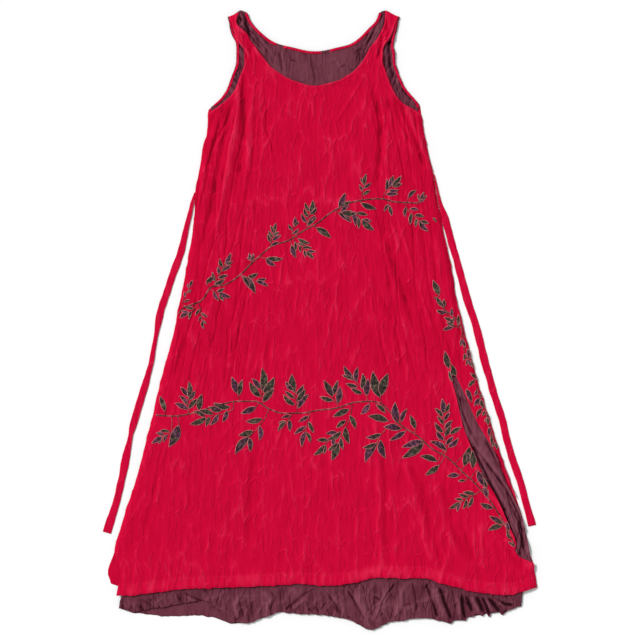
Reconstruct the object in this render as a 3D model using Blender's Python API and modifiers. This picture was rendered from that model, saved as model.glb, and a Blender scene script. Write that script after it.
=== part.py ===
"""A sleeveless maxi dress, laid flat: a red outer dress over a longer plum lining.

The tables are in millimetres and the meshes in metres. The dress lies on the plane z = 0 with its
front up. +X is to the right, +Y runs from the hems to the shoulders, and the middle of the dress as it
is laid out is at x = 0, y = 0. Every panel is one sheet of cloth, a wall with the photographed outline,
and the panels lie on each other from the back up: outer back, lining back, lining front, outer front.
"""

import bmesh
import bpy
import numpy as np

MM = 0.001
WALL = 1.6  # a cloth wall
GAP = 0.3  # between two pieces that touch
LAYER = WALL + GAP  # from one panel's underside to the next one's
SEAM_ROLL = 9.0  # the outer front comes down to the outer back within this of a side seam
LINING_CLEAR = 4.0  # the lining starts to fall to the floor this far past the red hem
LINING_FALL = 11.0  # and is down on it this much further on
FLUTE = 5.0  # the height of the waves at the lining's hem
BINDING_WIDTH = 5.0
HALF_COLUMNS = 16  # cells from a side edge to the middle of a panel
UNDERARM = 432.0

NAMES = "height back_left front_left front_right back_right"


def table(names, *rows):
    """Named columns from rows of numbers."""
    return dict(zip(names.split(), np.array(rows, float).T))


# The side edges from the hem up to the underarm
BODY = table(
    NAMES,
    (-580, -430, -427, 456, 456),
    (-563, -436, -424, 457, 457),
    (-530, -446, -419, 452, 452),
    (-512, -440, -420, 449, 449),
    (-496, -434, -432, 444, 444),
    (-421, -413, -413, 428, 428),
    (-358, -393, -393, 407, 407),
    (-295, -375, -375, 385, 385),
    (-211, -353, -353, 358, 358),
    (-127, -333, -333, 332, 332),
    (-43, -310, -310, 310, 310),
    (41, -293, -293, 289, 289),
    (125, -277, -277, 274, 274),
    (209, -264, -264, 255, 255),
    (272, -261, -261, 245, 245),
    (310, -253, -253, 238, 238),
    (361, -245, -245, 226, 226),
    (398, -236, -236, 219, 219),
    (432, -235, -235, 214, 214),
)

# The armhole edges from the underarm up to the shoulder
ARMHOLE = table(
    NAMES,
    (432, -235, -235, 214, 214),
    (445, -230, -215, 192, 212),
    (453, -219, -205, 177, 209),
    (470, -205, -188, 162, 194),
    (487, -193, -175, 152, 180),
    (512, -184, -166, 142, 168),
    (537, -177, -159, 135, 161),
    (562, -175, -158, 133, 158),
    (579, -175, -167, 139, 156),
    (587, -177, -174, 146, 157),
    (604, -186, -182, 154, 161),
    (621, -189, -187, 160, 165),
    (638, -191, -190, 165, 167),
    (652, -191, -190, 165, 167),
)

# The scoop of each neck, from its lowest point up
FRONT_NECK = table(
    "height left right",
    (491, -16, -16),
    (495, -33, 1),
    (503, -56, 39),
    (512, -74, 56),
    (529, -100, 79),
    (545, -114, 91),
    (571, -133, 106),
    (587, -145, 119),
    (600, -151, 127),
    (613, -166, 133),
    (625, -176, 138),
    (646, -174, 140),
)
BACK_NECK = table(
    "height left right",
    (564, -9, -9),
    (571, -51, 33),
    (579, -85, 64),
    (587, -102, 77),
    (600, -119, 92),
    (613, -133, 104),
    (629, -145, 119),
    (651, -154, 127),
)

# How high each corner of a strap's top edge is
SHOULDER = {"arm": 636.0, "front_neck": 645.0, "back_neck": 649.0}

RED_HEM = table(
    "across height",
    (-427, -580),
    (-352, -574),
    (-285, -565),
    (-217, -563),
    (-83, -557),
    (-49, -553),
    (1, -559),
    (68, -553),
    (110, -542),
    (219, -544),
    (253, -553),
    (320, -570),
    (387, -578),
    (456, -562),
)
LINING_HEM = table(
    "across height",
    (-421, -607),
    (-385, -616),
    (-318, -624),
    (-251, -622),
    (-217, -628),
    (-184, -639),
    (-150, -637),
    (-117, -626),
    (-75, -614),
    (-33, -618),
    (35, -624),
    (68, -633),
    (110, -651),
    (152, -635),
    (219, -626),
    (270, -635),
    (320, -624),
    (371, -616),
    (421, -603),
)

# How far inside the outer dress the lining's side edges lie
LINING_INSET = table(
    "height left right",
    (-607, 12, 34),
    (-580, 14, 30),
    (-520, 14, 12),
    (-500, 14, 1),
    (-470, 12, 1),
    (-410, 10, 1),
    (-370, 10, 6),
    (-330, 10, 10),
    (650, 10, 10),
)

# The largest folds of the outer front: each a soft ridge from one end to the other
FOLDS = table(
    "x0 y0 x1 y1 width height",
    (-196, 440, -218, 130, 26, 5.0),
    (-166, 480, -174, 60, 28, 6.0),
    (-118, 430, -130, 120, 30, 3.0),
    (-40, 400, -30, 60, 34, 2.5),
    (84, 430, 96, 120, 32, 3.0),
    (150, 470, 196, 40, 28, 6.0),
    (188, 430, 250, -60, 24, 4.5),
    (-250, -60, -330, -480, 40, 4.0),
    (-130, -120, -160, -500, 44, 4.0),
    (20, -100, 10, -480, 46, 3.0),
    (150, -180, 210, -500, 42, 4.0),
    (270, -250, 350, -520, 34, 3.0),
)

# The slash in the outer front, over the lining: up its left edge, then down its right edge
SLASH_LEFT = table(
    "x y",
    (408, -490),
    (413, -473),
    (394, -431),
    (379, -391),
    (354, -355),
    (337, -343),
    (322, -303),
    (314, -259),
    (301, -223),
    (285, -158),
    (270, -108),
    (262, -62),
)
SLASH_RIGHT = table(
    "x y",
    (276, -87),
    (306, -158),
    (329, -211),
    (356, -257),
    (381, -297),
    (400, -351),
    (419, -391),
    (470, -391),
    (470, -516),
    (446, -509),
    (423, -500),
)

# Each tie from its seam to its free end
TIE_LEFT = table(
    "height middle width",
    (268, -262.6, 2.0),
    (243, -268.6, 7.5),
    (226, -272.2, 9),
    (209, -276.0, 10),
    (142, -292, 15),
    (75, -315, 15),
    (8, -336, 15),
    (-43, -346, 9),
    (-93, -355, 11),
    (-160, -374, 15),
    (-227, -393, 15),
    (-295, -408, 17),
    (-362, -422, 15),
    (-448, -447.7, 19),
)
TIE_RIGHT = table(
    "height middle width",
    (306, 240.1, 2.0),
    (293, 243.4, 3.0),
    (277, 247.2, 4.4),
    (260, 250.9, 5.6),
    (243, 254.6, 7.2),
    (226, 260.4, 12.6),
    (205, 266.0, 16),
    (125, 288.5, 15),
    (58, 306, 16),
    (-9, 328, 15),
    (-76, 345, 16),
    (-143, 363, 15),
    (-211, 384, 15),
    (-278, 401, 15),
    (-345, 424, 15),
    (-433, 447, 16),
)

# Where each binding shows: its first and last height
NECK_BINDING = {"low": 564.0, "high": 645.0}
ARM_BINDING = {"left": (462.0, 574.0), "right": (458.0, 596.0)}

RED = (0.603, 0.006, 0.041)
PLUM = (0.165, 0.041, 0.065)


def smooth(x):
    x = np.clip(x, 0, 1)
    return x * x * (3 - 2 * x)


def side_edge(name, height):
    """How far across a panel's side or armhole edge is at each height."""
    below = np.interp(height, BODY["height"], BODY[name])
    above = np.interp(height, ARMHOLE["height"], ARMHOLE[name])
    return np.where(height < UNDERARM, below, above)


def lining_edge(name, height):
    """The same for the lining, which both stops short of the outer front's side seams."""
    hand = name.split("_")[1]
    inset = np.interp(height, LINING_INSET["height"], LINING_INSET[hand])
    inset = inset * smooth((UNDERARM + 20 - height) / 20)
    outer = np.where(height < UNDERARM, side_edge(f"front_{hand}", height), side_edge(name, height))
    return outer + (inset if hand == "left" else -inset)


def spread(low, high, first, n):
    """n + 1 points from low to high, the first of them a fixed distance from low."""
    first = np.minimum(first, 0.3 * np.abs(high - low)) * np.sign(high - low)
    rest = np.linspace(0, 1, n)
    return np.column_stack([low, (low + first)[:, None] + (high - low - first)[:, None] * rest])


def row_heights(*tables):
    """The heights of the tables' rows, at least 8 mm apart."""
    wanted = np.unique(np.concatenate([t["height"] for t in tables]))
    kept = [wanted[0]]
    for height in wanted[1:]:
        if height - kept[-1] >= 8:
            kept.append(height)
    return np.array(kept)


class Panel:
    """A grid of rows from the hem up to the lowest point of the neck, and one more for each strap."""

    def __init__(self, face, neck, edge, hem, extra=None):
        self.face, self.neck, self.edge = face, neck, edge
        self.neck_low, self.neck_x = neck["height"][0], neck["left"][0]
        foot = hem["height"][0]
        rows = row_heights(BODY, ARMHOLE)
        rows = rows[(rows > foot + 8) & (rows < self.neck_low - 8)]
        up = (np.concatenate([[foot], rows, [self.neck_low]]) - foot) / (self.neck_low - foot)
        self.points, self.faces = [], []
        columns = self.cross(np.full(1, foot), 0.0)[0]
        hem_line = np.interp(columns, hem["across"], hem["height"])
        grid = []
        if extra is not None:
            start = hem_line - LINING_CLEAR
            tail = np.interp(columns, extra["across"], extra["height"])
            for fall in (1.0, 0.5):
                grid.append(self.row(tail + (start - LINING_FALL - tail) * (1 - fall), 0.0))
            grid.append(self.row(start - LINING_FALL, 0.0))
            hem_line = start
        for v in up:
            grid.append(self.row(hem_line + (self.neck_low - hem_line) * v, v))
        self.add(grid)
        self.strap("left", slice(0, HALF_COLUMNS + 1))
        self.strap("right", slice(HALF_COLUMNS, None))

    def cross(self, height, v):
        """The places across of one row's points, each edge taken at the given height."""
        left = self.edge(f"{self.face}_left", height)
        right = self.edge(f"{self.face}_right", height)
        middle = self.neck_x * v + 0.5 * (left + right) * (1 - v)
        west = spread(left, middle, SEAM_ROLL, HALF_COLUMNS)
        east = spread(right, middle, SEAM_ROLL, HALF_COLUMNS)[:, ::-1]
        return np.hstack([west, east[:, 1:]])

    def row(self, height, v):
        """One row: its own height at each column, and the place across that goes with it."""
        across = self.cross(height, v)[np.arange(len(height)), np.arange(len(height))]
        return np.column_stack([across, height])

    def add(self, grid):
        """Adds a block of quads, and keeps the numbers of its points."""
        grid = np.array(grid)
        rows, columns = grid.shape[:2]
        first = len(self.points)
        index = first + np.arange(rows * columns).reshape(rows, columns)
        self.points += grid.reshape(-1, 2).tolist()
        self.quads(index)
        self.top_row = index[-1]
        if not first:
            self.body_index = index

    def quads(self, index):
        a, b, c, d = index[:-1, :-1], index[:-1, 1:], index[1:, 1:], index[1:, :-1]
        self.faces += np.stack([a, b, c, d], axis=-1).reshape(-1, 4).tolist()

    def strap(self, hand, part):
        """The block from the lowest point of the neck up to the shoulder, on one side."""
        base = self.body_index[-1, part]
        edge, scoop = f"{self.face}_{hand}", self.neck[hand]
        rows = row_heights(self.neck)[1:-1]
        top = SHOULDER[f"{self.face}_neck"]
        up = np.append((rows - self.neck_low) / (top - self.neck_low), 1.0)
        share = np.linspace(0, 1, HALF_COLUMNS + 1)
        if hand == "right":
            share = share[::-1]
        grid = []
        for v in up:
            height = self.neck_low + v * (SHOULDER["arm"] + (top - SHOULDER["arm"]) * share - self.neck_low)
            outer = self.edge(edge, height)
            inner = np.interp(height, self.neck["height"], scoop)
            grid.append(np.column_stack([outer + (inner - outer) * share, height]))
        first = len(self.points)
        grid = np.array(grid)
        self.points += grid.reshape(-1, 2).tolist()
        index = first + np.arange(grid.shape[0] * grid.shape[1]).reshape(grid.shape[:2])
        self.quads(np.vstack([base, index]))


def material(name, colour):
    """A matt cloth."""
    made = bpy.data.materials.new(name)
    made.use_nodes = True
    shader = made.node_tree.nodes["Principled BSDF"]
    shader.inputs["Base Color"].default_value = (*colour, 1)
    shader.inputs["Roughness"].default_value = 0.85
    shader.inputs["Metallic"].default_value = 0.0
    return made


def mesh_object(name, points, faces, colour, collection):
    """A mesh object from points in millimetres."""
    mesh = bpy.data.meshes.new(name)
    mesh.from_pydata((np.array(points) * MM).tolist(), [], faces)
    piece = bpy.data.objects.new(name, mesh)
    collection.objects.link(piece)
    mesh.materials.append(material(f"{name}_cloth", colour))
    return piece


def wall(piece, thickness=WALL):
    """Gives an open sheet its thickness, upwards from its underside."""
    solidify = piece.modifiers.new("wall", "SOLIDIFY")
    solidify.thickness = thickness * MM
    solidify.offset = 1.0
    solidify.use_even_offset = False


def ridges(x, y):
    """The height that the folds add: each is a cosine ridge that fades out at its two ends."""
    total = np.zeros_like(x)
    for k in range(len(FOLDS["x0"])):
        fold = {name: column[k] for name, column in FOLDS.items()}
        run = np.array([fold["x1"] - fold["x0"], fold["y1"] - fold["y0"]])
        length = np.hypot(*run)
        along = ((x - fold["x0"]) * run[0] + (y - fold["y0"]) * run[1]) / length
        off = ((x - fold["x0"]) * run[1] - (y - fold["y0"]) * run[0]) / length
        ends = smooth(along / 60) * smooth((length - along) / 60)
        total += fold["height"] * ends * smooth(1 - np.abs(off) / fold["width"])
    return total


def outer_back(collection):
    panel = Panel("back", BACK_NECK, side_edge, RED_HEM)
    points = [(x, y, 0.0) for x, y in panel.points]
    wall(mesh_object("outer_back", points, panel.faces, RED, collection))


def lining(name, face, neck, layer, flute, collection):
    """A lining panel: over the floor past the red hem, it lies one layer lower."""
    panel = Panel(face, neck, lining_edge, RED_HEM, extra=LINING_HEM)
    x, y = np.array(panel.points).T
    z = np.full(len(x), layer * LAYER)
    fallen = panel.body_index[:3].ravel()
    z[fallen] -= LAYER
    for row, share in ((0, 1.0), (1, 0.7)):
        line = panel.body_index[row]
        z[line] += share * flute * 0.5 * (1 - np.cos(2 * np.pi * x[line] / 62))
    wall(mesh_object(name, np.column_stack([x, y, z]), panel.faces, PLUM, collection))


def prism(name, outline, low, high):
    """A closed block with this outline, between two heights."""
    shape = bmesh.new()
    face = shape.faces.new([shape.verts.new((x * MM, y * MM, low * MM)) for x, y in outline])
    raised = bmesh.ops.extrude_face_region(shape, geom=[face])["geom"]
    corners = [v for v in raised if isinstance(v, bmesh.types.BMVert)]
    bmesh.ops.translate(shape, verts=corners, vec=(0, 0, (high - low) * MM))
    bmesh.ops.recalc_face_normals(shape, faces=shape.faces)
    mesh = bpy.data.meshes.new(name)
    shape.to_mesh(mesh)
    shape.free()
    return bpy.data.objects.new(name, mesh)


def outer_front(collection, cutters):
    """The top panel, with its folds, its rolled side seams and the slash."""
    panel = Panel("front", FRONT_NECK, side_edge, RED_HEM)
    x, y = np.array(panel.points).T
    z = 3 * LAYER + ridges(x, y)
    left, right = panel.body_index[:, 0], panel.body_index[:, -1]
    z[left] = LAYER + 2 * LAYER * smooth((y[left] - UNDERARM + 30) / 30)
    over_lining = smooth((-260 - y[right]) / 60) * smooth((y[right] + 575) / 10)
    level = np.maximum(over_lining, smooth((y[right] - UNDERARM + 30) / 30))
    z[right] = LAYER + 2 * LAYER * level
    piece = mesh_object("outer_front", np.column_stack([x, y, z]), panel.faces, RED, collection)
    wall(piece)
    outline = list(zip(SLASH_LEFT["x"], SLASH_LEFT["y"])) + list(zip(SLASH_RIGHT["x"], SLASH_RIGHT["y"]))
    cutter = prism("slash_cutter", outline, -5.0, 30.0)
    cutter.hide_render = True
    cutter.display_type = "WIRE"
    cutters.objects.link(cutter)
    slash = piece.modifiers.new("slash", "BOOLEAN")
    slash.operation = "DIFFERENCE"
    slash.object = cutter


def ribbon(name, line, width, z, colour, collection, thickness=WALL):
    """A narrow flat strip of cloth: each point of a line widened to both sides."""
    line, width = np.array(line), np.broadcast_to(width, len(line))
    run = np.gradient(line, axis=0)
    across = np.column_stack([run[:, 1], -run[:, 0]]) / np.hypot(*run.T)[:, None]
    left = line - across * width[:, None] / 2
    right = line + across * width[:, None] / 2
    points = np.vstack([left, right])
    points = np.column_stack([points, np.full(len(points), z)])
    n = len(line)
    faces = [(k, k + n, k + n + 1, k + 1) for k in range(n - 1)]
    wall(mesh_object(name, points, faces, colour, collection), thickness)


def tie(name, rows, collection):
    """A tie lies on the floor beside the dress, from its side seam to its free end."""
    height = np.unique(np.concatenate([rows["height"], np.arange(-430, 200, 40)]))[::-1]
    order = np.argsort(rows["height"])
    middle = np.interp(height, rows["height"][order], rows["middle"][order])
    width = np.interp(height, rows["height"][order], rows["width"][order])
    ribbon(name, np.column_stack([middle, height]), width, 0.0, RED, collection)


def neck_binding(collection):
    """The red strip that shows along the back neck, on the lining."""
    low, high = NECK_BINDING["low"], NECK_BINDING["high"]
    left = np.append(row_heights(BACK_NECK)[1:-1], high)[::-1]
    heights = np.concatenate([left, [low], left[::-1]])
    hand = np.repeat([-1, 0, 1], [len(left), 1, len(left)])
    west = np.interp(heights, BACK_NECK["height"], BACK_NECK["left"])
    east = np.interp(heights, BACK_NECK["height"], BACK_NECK["right"])
    line = np.column_stack([np.where(hand > 0, east, west), heights])
    run = np.gradient(line, axis=0)
    inward = np.column_stack([run[:, 1], -run[:, 0]]) / np.hypot(*run.T)[:, None]
    line = line + inward * (BINDING_WIDTH / 2 + 0.5)
    ribbon("neck_binding", line, BINDING_WIDTH, 2 * LAYER, RED, collection)


def arm_binding(hand, collection):
    """The red strip that shows along one back armhole, on the lining."""
    low, high = ARM_BINDING[hand]
    heights = np.append(np.arange(low, high, 14.0), high)
    inward = 1 if hand == "left" else -1
    edge = side_edge(f"back_{hand}", heights)
    line = np.column_stack([edge + inward * (BINDING_WIDTH / 2 + 1.2), heights])
    ribbon(f"armhole_binding_{hand}", line, BINDING_WIDTH, 2 * LAYER, RED, collection)


def main():
    for old in list(bpy.data.objects):
        bpy.data.objects.remove(old, do_unlink=True)
    dress = bpy.data.collections.new("maxi_dress")
    cutters = bpy.data.collections.new("cutters")
    bpy.context.scene.collection.children.link(dress)
    bpy.context.scene.collection.children.link(cutters)
    outer_back(dress)
    lining("lining_back", "back", BACK_NECK, 1, 0.0, dress)
    lining("lining_front", "front", FRONT_NECK, 2, FLUTE, dress)
    outer_front(dress, cutters)
    neck_binding(dress)
    arm_binding("left", dress)
    arm_binding("right", dress)
    tie("tie_left", TIE_LEFT, dress)
    tie("tie_right", TIE_RIGHT, dress)


main()
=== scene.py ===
# %% [markdown]
# # A sleeveless maxi dress, laid flat
#
# The dress is a red crinkled outer dress over a longer plum lining. It lies on its back on a pale
# floor, with a narrow tie on each side and leafy branches across its front. Blender could drape it
# with a cloth simulation, but crinkled crepe is stiff along its crinkles and keeps the lines that it
# was dried in. So each panel is a height over the floor, worked out from its outline, its folds and
# its crinkle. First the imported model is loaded, which everything here is fitted to.

import bpy
import numpy as np
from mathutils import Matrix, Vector


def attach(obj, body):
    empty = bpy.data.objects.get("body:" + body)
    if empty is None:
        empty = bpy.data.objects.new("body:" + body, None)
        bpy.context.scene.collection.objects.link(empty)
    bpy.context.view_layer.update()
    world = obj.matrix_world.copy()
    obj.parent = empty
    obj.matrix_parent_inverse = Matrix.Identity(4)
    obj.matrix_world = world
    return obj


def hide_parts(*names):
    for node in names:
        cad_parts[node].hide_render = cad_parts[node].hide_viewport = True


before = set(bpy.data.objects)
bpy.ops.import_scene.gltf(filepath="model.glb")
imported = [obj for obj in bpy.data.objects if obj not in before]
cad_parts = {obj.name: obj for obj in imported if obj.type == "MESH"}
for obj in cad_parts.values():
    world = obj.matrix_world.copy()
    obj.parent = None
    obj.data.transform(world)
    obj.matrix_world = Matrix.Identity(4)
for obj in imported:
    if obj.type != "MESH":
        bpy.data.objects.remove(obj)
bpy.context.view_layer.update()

# %% [markdown]
# ## The camera, the floor and the light
#
# The dress was photographed from straight above, so a long lens looks down at it. The floor is a
# plain pale sheet. Light as from a large window comes from the upper left, low enough for each
# crinkle to get a light and a dark side, and an even sky fills the shadows.

# %% Camera
MM = 0.001
VIEW_WIDTH = 1.344  # metres of floor across the picture
LENS, SENSOR = 85.0, 36.0
CLOTH_LEVEL = 0.007
VIEW_CENTRE = (0.00105, -0.0005)

camera_data = bpy.data.cameras.new("camera")
camera_data.lens, camera_data.sensor_width = LENS, SENSOR
camera = bpy.data.objects.new("camera", camera_data)
camera.location = (*VIEW_CENTRE, CLOTH_LEVEL + VIEW_WIDTH * LENS / SENSOR)
bpy.context.scene.collection.objects.link(camera)
bpy.context.scene.camera = camera
bpy.context.scene.view_settings.view_transform = "Standard"
print("camera height:", round(camera.location.z, 3), "m")

# %% Floor and light
FLOOR_SIZE = 8.0
FLOOR_COLOUR = (0.93, 0.93, 0.93, 1)
SUN_FROM, SUN_ENERGY, SUN_WIDTH = (-0.62, 0.5, 0.78), 2.75, np.radians(16)
SKY_STRENGTH = 0.47

half = FLOOR_SIZE / 2
corners = [(-half, -half, 0), (half, -half, 0), (half, half, 0), (-half, half, 0)]
floor_mesh = bpy.data.meshes.new("floor")
floor_mesh.from_pydata(corners, [], [(0, 1, 2, 3)])
floor = bpy.data.objects.new("floor", floor_mesh)
bpy.context.scene.collection.objects.link(floor)
floor_paint = bpy.data.materials.new("pale_floor")
floor_paint.use_nodes = True
floor_shader = floor_paint.node_tree.nodes["Principled BSDF"]
floor_shader.inputs["Base Color"].default_value = FLOOR_COLOUR
floor_shader.inputs["Roughness"].default_value = 0.9
floor_shader.inputs["Specular IOR Level"].default_value = 0.1
floor_mesh.materials.append(floor_paint)

world = bpy.data.worlds.new("studio")
world.use_nodes = True
world.node_tree.nodes["Background"].inputs["Color"].default_value = (1, 1, 1, 1)
world.node_tree.nodes["Background"].inputs["Strength"].default_value = SKY_STRENGTH
bpy.context.scene.world = world

sun = bpy.data.lights.new("window", "SUN")
sun.energy, sun.angle = SUN_ENERGY, SUN_WIDTH
window = bpy.data.objects.new("window", sun)
window.rotation_euler = Vector(SUN_FROM).to_track_quat("Z", "Y").to_euler()
bpy.context.scene.collection.objects.link(window)

# %% [markdown]
# ## The cut of the dress
#
# A maker draws each panel as an outline. Here each outline is a short table, in millimetres: how far
# out the side edges, the armholes and the necks are at each height, and how high the hems are across
# the dress. They follow the CAD's to a few millimetres, but the slash starts 40 mm lower and its left
# edge is up to 12 mm away. A smooth curve goes through each column.

# %% Outlines
SIDES = "height back_left front_left front_right back_right"


def table(names, *rows):
    """Named columns from rows of numbers."""
    return dict(zip(names.split(), np.array(rows, float).T))


UNDERARM = 432.0
BODY = table(
    SIDES,
    (-580, -430, -427, 456, 456), (-563, -436, -424, 457, 457), (-530, -446, -419, 452, 452),
    (-512, -440, -420, 449, 449), (-496, -434, -432, 444, 444), (-421, -413, -413, 428, 428),
    (-358, -393, -393, 407, 407), (-295, -375, -375, 385, 385), (-211, -353, -353, 358, 358),
    (-127, -333, -333, 332, 332), (-43, -310, -310, 310, 310), (41, -293, -293, 289, 289),
    (125, -277, -277, 274, 274), (209, -264, -264, 255, 255), (272, -261, -261, 245, 245),
    (310, -253, -253, 238, 238), (361, -245, -245, 226, 226), (398, -236, -236, 219, 219),
    (432, -235, -235, 214, 214),
)
ARMHOLE = table(
    SIDES,
    (432, -235, -235, 214, 214), (445, -230, -215, 192, 212), (453, -219, -205, 177, 209),
    (470, -205, -188, 162, 194), (487, -193, -175, 152, 180), (512, -184, -166, 142, 168),
    (537, -177, -159, 135, 161), (562, -175, -158, 133, 158), (579, -175, -167, 139, 156),
    (587, -177, -174, 146, 157), (604, -186, -179, 154, 161), (621, -189, -184, 160, 165),
    (638, -193, -190, 166, 168), (652, -193, -190, 166, 168),
)
FRONT_NECK = table(
    "height left right",
    (491.5, -12, -12), (495, -33, 13), (499.5, -46, 31), (503.5, -58, 43), (511, -73, 55),
    (518, -84, 67), (530, -101, 80), (547, -115, 93), (571, -133, 106), (587, -145, 119),
    (600, -151, 127), (613, -166, 133), (625, -175, 137), (646, -169, 138),
)
BACK_NECK = table(
    "height left right",
    (564, -9, -9), (571, -51, 33), (579, -85, 64), (587, -102, 77), (600, -119, 92),
    (613, -133, 104), (629, -145, 119), (651, -154, 127),
)
SHOULDER = {
    "low": 636.5, "slope": 11.0, "crown": 5.0, "left": (-192.0, -154.0), "right": (168.0, 127.0),
}
RED_HEM = table(
    "across height",
    (-427, -580), (-352, -574), (-285, -565), (-217, -563), (-83, -557), (-49, -553), (1, -559),
    (68, -553), (110, -542), (219, -544), (253, -553), (320, -570), (387, -578), (456, -562),
)
BACK_HEM = table(
    "across height",
    (-446, -552), (-432, -559), (-415, -563), (-395, -572), (-352, -576), (-285, -567), (-217, -565),
    (-83, -559), (1, -561), (110, -544), (219, -546), (320, -572), (387, -578), (456, -562),
)
LINING_HEM = table(
    "across height",
    (-421, -607), (-385, -616), (-318, -624), (-251, -622), (-217, -628), (-184, -639),
    (-150, -637), (-117, -626), (-75, -614), (-33, -618), (35, -624), (68, -633), (110, -651),
    (152, -635), (219, -626), (270, -635), (320, -624), (371, -616), (421, -603),
)
LINING_INSET = table(
    "height left right",
    (-607, 5, 34), (-585, 10, 30), (-570, 14, 28), (-520, 14, 12), (-500, 14, 1), (-470, 12, 1),
    (-410, 10, 1), (-370, 10, 6), (-330, 10, 10), (650, 10, 10),
)
LINING_FRONT_HEM = table(
    "across height",
    (-421, -607), (-385, -613), (-350, -607), (-318, -602), (-293, -597), (-250, -590), (-236, -592),
    (-219, -604), (-202, -622), (-190, -636), (-150, -637), (-117, -626), (-75, -614), (-33, -618),
    (35, -624), (68, -633), (110, -651), (152, -635), (219, -628), (253, -632), (277, -638),
    (283, -633), (307, -632), (311, -624), (322, -624), (330, -617), (343, -622), (350, -615),
    (357, -626), (362, -616), (378, -615), (384, -620), (392, -615), (404, -607), (419, -603),
)
SLASH_LEFT = table(
    "x y",
    (408, -490), (413, -473), (397, -431), (380, -391), (362, -357), (349, -338), (333, -303),
    (324, -280), (313, -255), (301, -223), (286, -158), (278, -126), (273, -102),
)
SLASH_RIGHT = table(
    "x y",
    (280, -106), (306, -158), (329, -211), (356, -257), (381, -297), (400, -351), (409, -371),
    (470, -384), (470, -516), (446, -509), (423, -500),
)
print("side edges:", len(BODY["height"]), "heights from hem to underarm")


# %% Smooth curves through a table
def through(at, known, values):
    """A curve through points that never overshoots them: a cubic between each two, whose slope at
    a point is the harmonic mean of the slopes of the chords beside it, or level where they turn."""
    gap = np.diff(known)
    chord = np.diff(values) / gap
    both = chord[1:] * chord[:-1]
    inner = np.where(both > 0, 2 * both / np.where(both > 0, chord[1:] + chord[:-1], 1), 0)
    slope = np.concatenate([chord[:1], inner, chord[-1:]])
    k = np.clip(np.searchsorted(known, at) - 1, 0, len(gap) - 1)
    t = np.clip((at - known[k]) / gap[k], 0, 1)
    ends = (1 + 2 * t) * (1 - t) ** 2 * values[k] + t * t * (3 - 2 * t) * values[k + 1]
    return ends + gap[k] * t * (1 - t) * ((1 - t) * slope[k] - t * slope[k + 1])


def smooth(t):
    """From 0 to 1 with level ends: three squares less two cubes."""
    t = np.clip(t, 0, 1)
    return t * t * (3 - 2 * t)


# %% [markdown]
# ## Hills and hollows
#
# Crinkles, wavy edges and mottled dye all need something that wanders without a beat. Lattice noise
# does: random slopes at the corners of a square lattice, blended between them. Stretching it along
# the dress gives long, thin shapes, and a fixed seed makes them the same on each run.

# %% Lattice noise
LATTICE = 64


def noise(u, v, seed):
    """Hills from about -0.7 to 0.7: each corner of a square lattice has a random slope, and the
    four planes round a place are blended by 6t^5 - 15t^4 + 10t^3."""
    turn = np.random.default_rng(seed).uniform(0, 2 * np.pi, (LATTICE, LATTICE))
    u, v = np.broadcast_arrays(np.asarray(u, float), np.asarray(v, float))
    i, j = np.floor(u).astype(int), np.floor(v).astype(int)
    a, b = u - i, v - j
    fade_a, fade_b = (t**3 * (t * (6 * t - 15) + 10) for t in (a, b))

    def plane(di, dj):
        angle = turn[(i + di) % LATTICE, (j + dj) % LATTICE]
        return np.cos(angle) * (a - di) + np.sin(angle) * (b - dj)

    low = plane(0, 0) * (1 - fade_a) + plane(1, 0) * fade_a
    high = plane(0, 1) * (1 - fade_a) + plane(1, 1) * fade_a
    return low * (1 - fade_b) + high * fade_b


def near(x, y, line):
    """How far each place is from a line of points: the least of its distances from the segments."""
    best = np.full(np.shape(x), 1e9)
    for (x0, y0), (x1, y1) in zip(line[:-1], line[1:]):
        dx, dy = x1 - x0, y1 - y0
        t = np.clip(((x - x0) * dx + (y - y0) * dy) / (dx * dx + dy * dy), 0, 1)
        best = np.minimum(best, np.hypot(x - x0 - t * dx, y - y0 - t * dy))
    return best


# %% [markdown]
# ## The edges of the panels
#
# The front and the back meet at the side seams, and the lining lies a little inside them. The cloth
# is light, so its edges wander by a millimetre or two. A neck curve is level at its lowest point,
# which a function of height can't be, so it is a function of the square root of the height above it.

# %% Edges
EDGE_WANDER = 2.2  # in mm, times noise of up to 0.7
EDGE_SEED = {"left": 11, "right": 12}


def side_edge(name, height):
    """How far across a side or armhole edge is at each height: the table's curve, and a wander."""
    below = through(height, BODY["height"], BODY[name])
    above = through(height, ARMHOLE["height"], ARMHOLE[name])
    seed = EDGE_SEED[name.split("_")[1]]
    wander = EDGE_WANDER * (noise(height / 23, 0.5, seed) + 0.5 * noise(height / 9, 0.5, seed + 5))
    return np.where(height < UNDERARM, below, above) + wander


def lining_edge(name, height):
    """The lining's edge: the front's, moved in by its inset."""
    hand = name.split("_")[1]
    inset = through(height, LINING_INSET["height"], LINING_INSET[hand])
    inset = inset * smooth((UNDERARM + 20 - height) / 20)
    outer = np.where(height < UNDERARM, side_edge(f"front_{hand}", height), side_edge(name, height))
    return outer + (inset if hand == "left" else -inset)


def neck_edge(neck, hand, height):
    """How far across a neck's edge is: a curve through the table in root height."""
    low = neck["height"][0]
    return through(np.sqrt(np.maximum(height - low, 0)), np.sqrt(neck["height"] - low), neck[hand])


def neck_curve(neck, rising):
    """A neck's edge from the left shoulder down and up to the right one, at these rising heights."""
    left, right = (
        np.column_stack([neck_edge(neck, hand, rising), rising]) for hand in ("left", "right")
    )
    return np.vstack([left[::-1], right[1:]])


def hem_height(hem, across):
    """How high a hem is at each place across: its table's curve, and small puckers."""
    puckers = 2.4 * noise(across / 10, 0.5, 31) + 2.0 * noise(across / 31, 0.5, 32)
    return through(across, hem["across"], hem["height"]) + puckers


hem_ends = [float(side_edge(name, -575.0)) for name in ("front_left", "front_right")]
print("hem width:", round(hem_ends[1] - hem_ends[0]), "mm")

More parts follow.
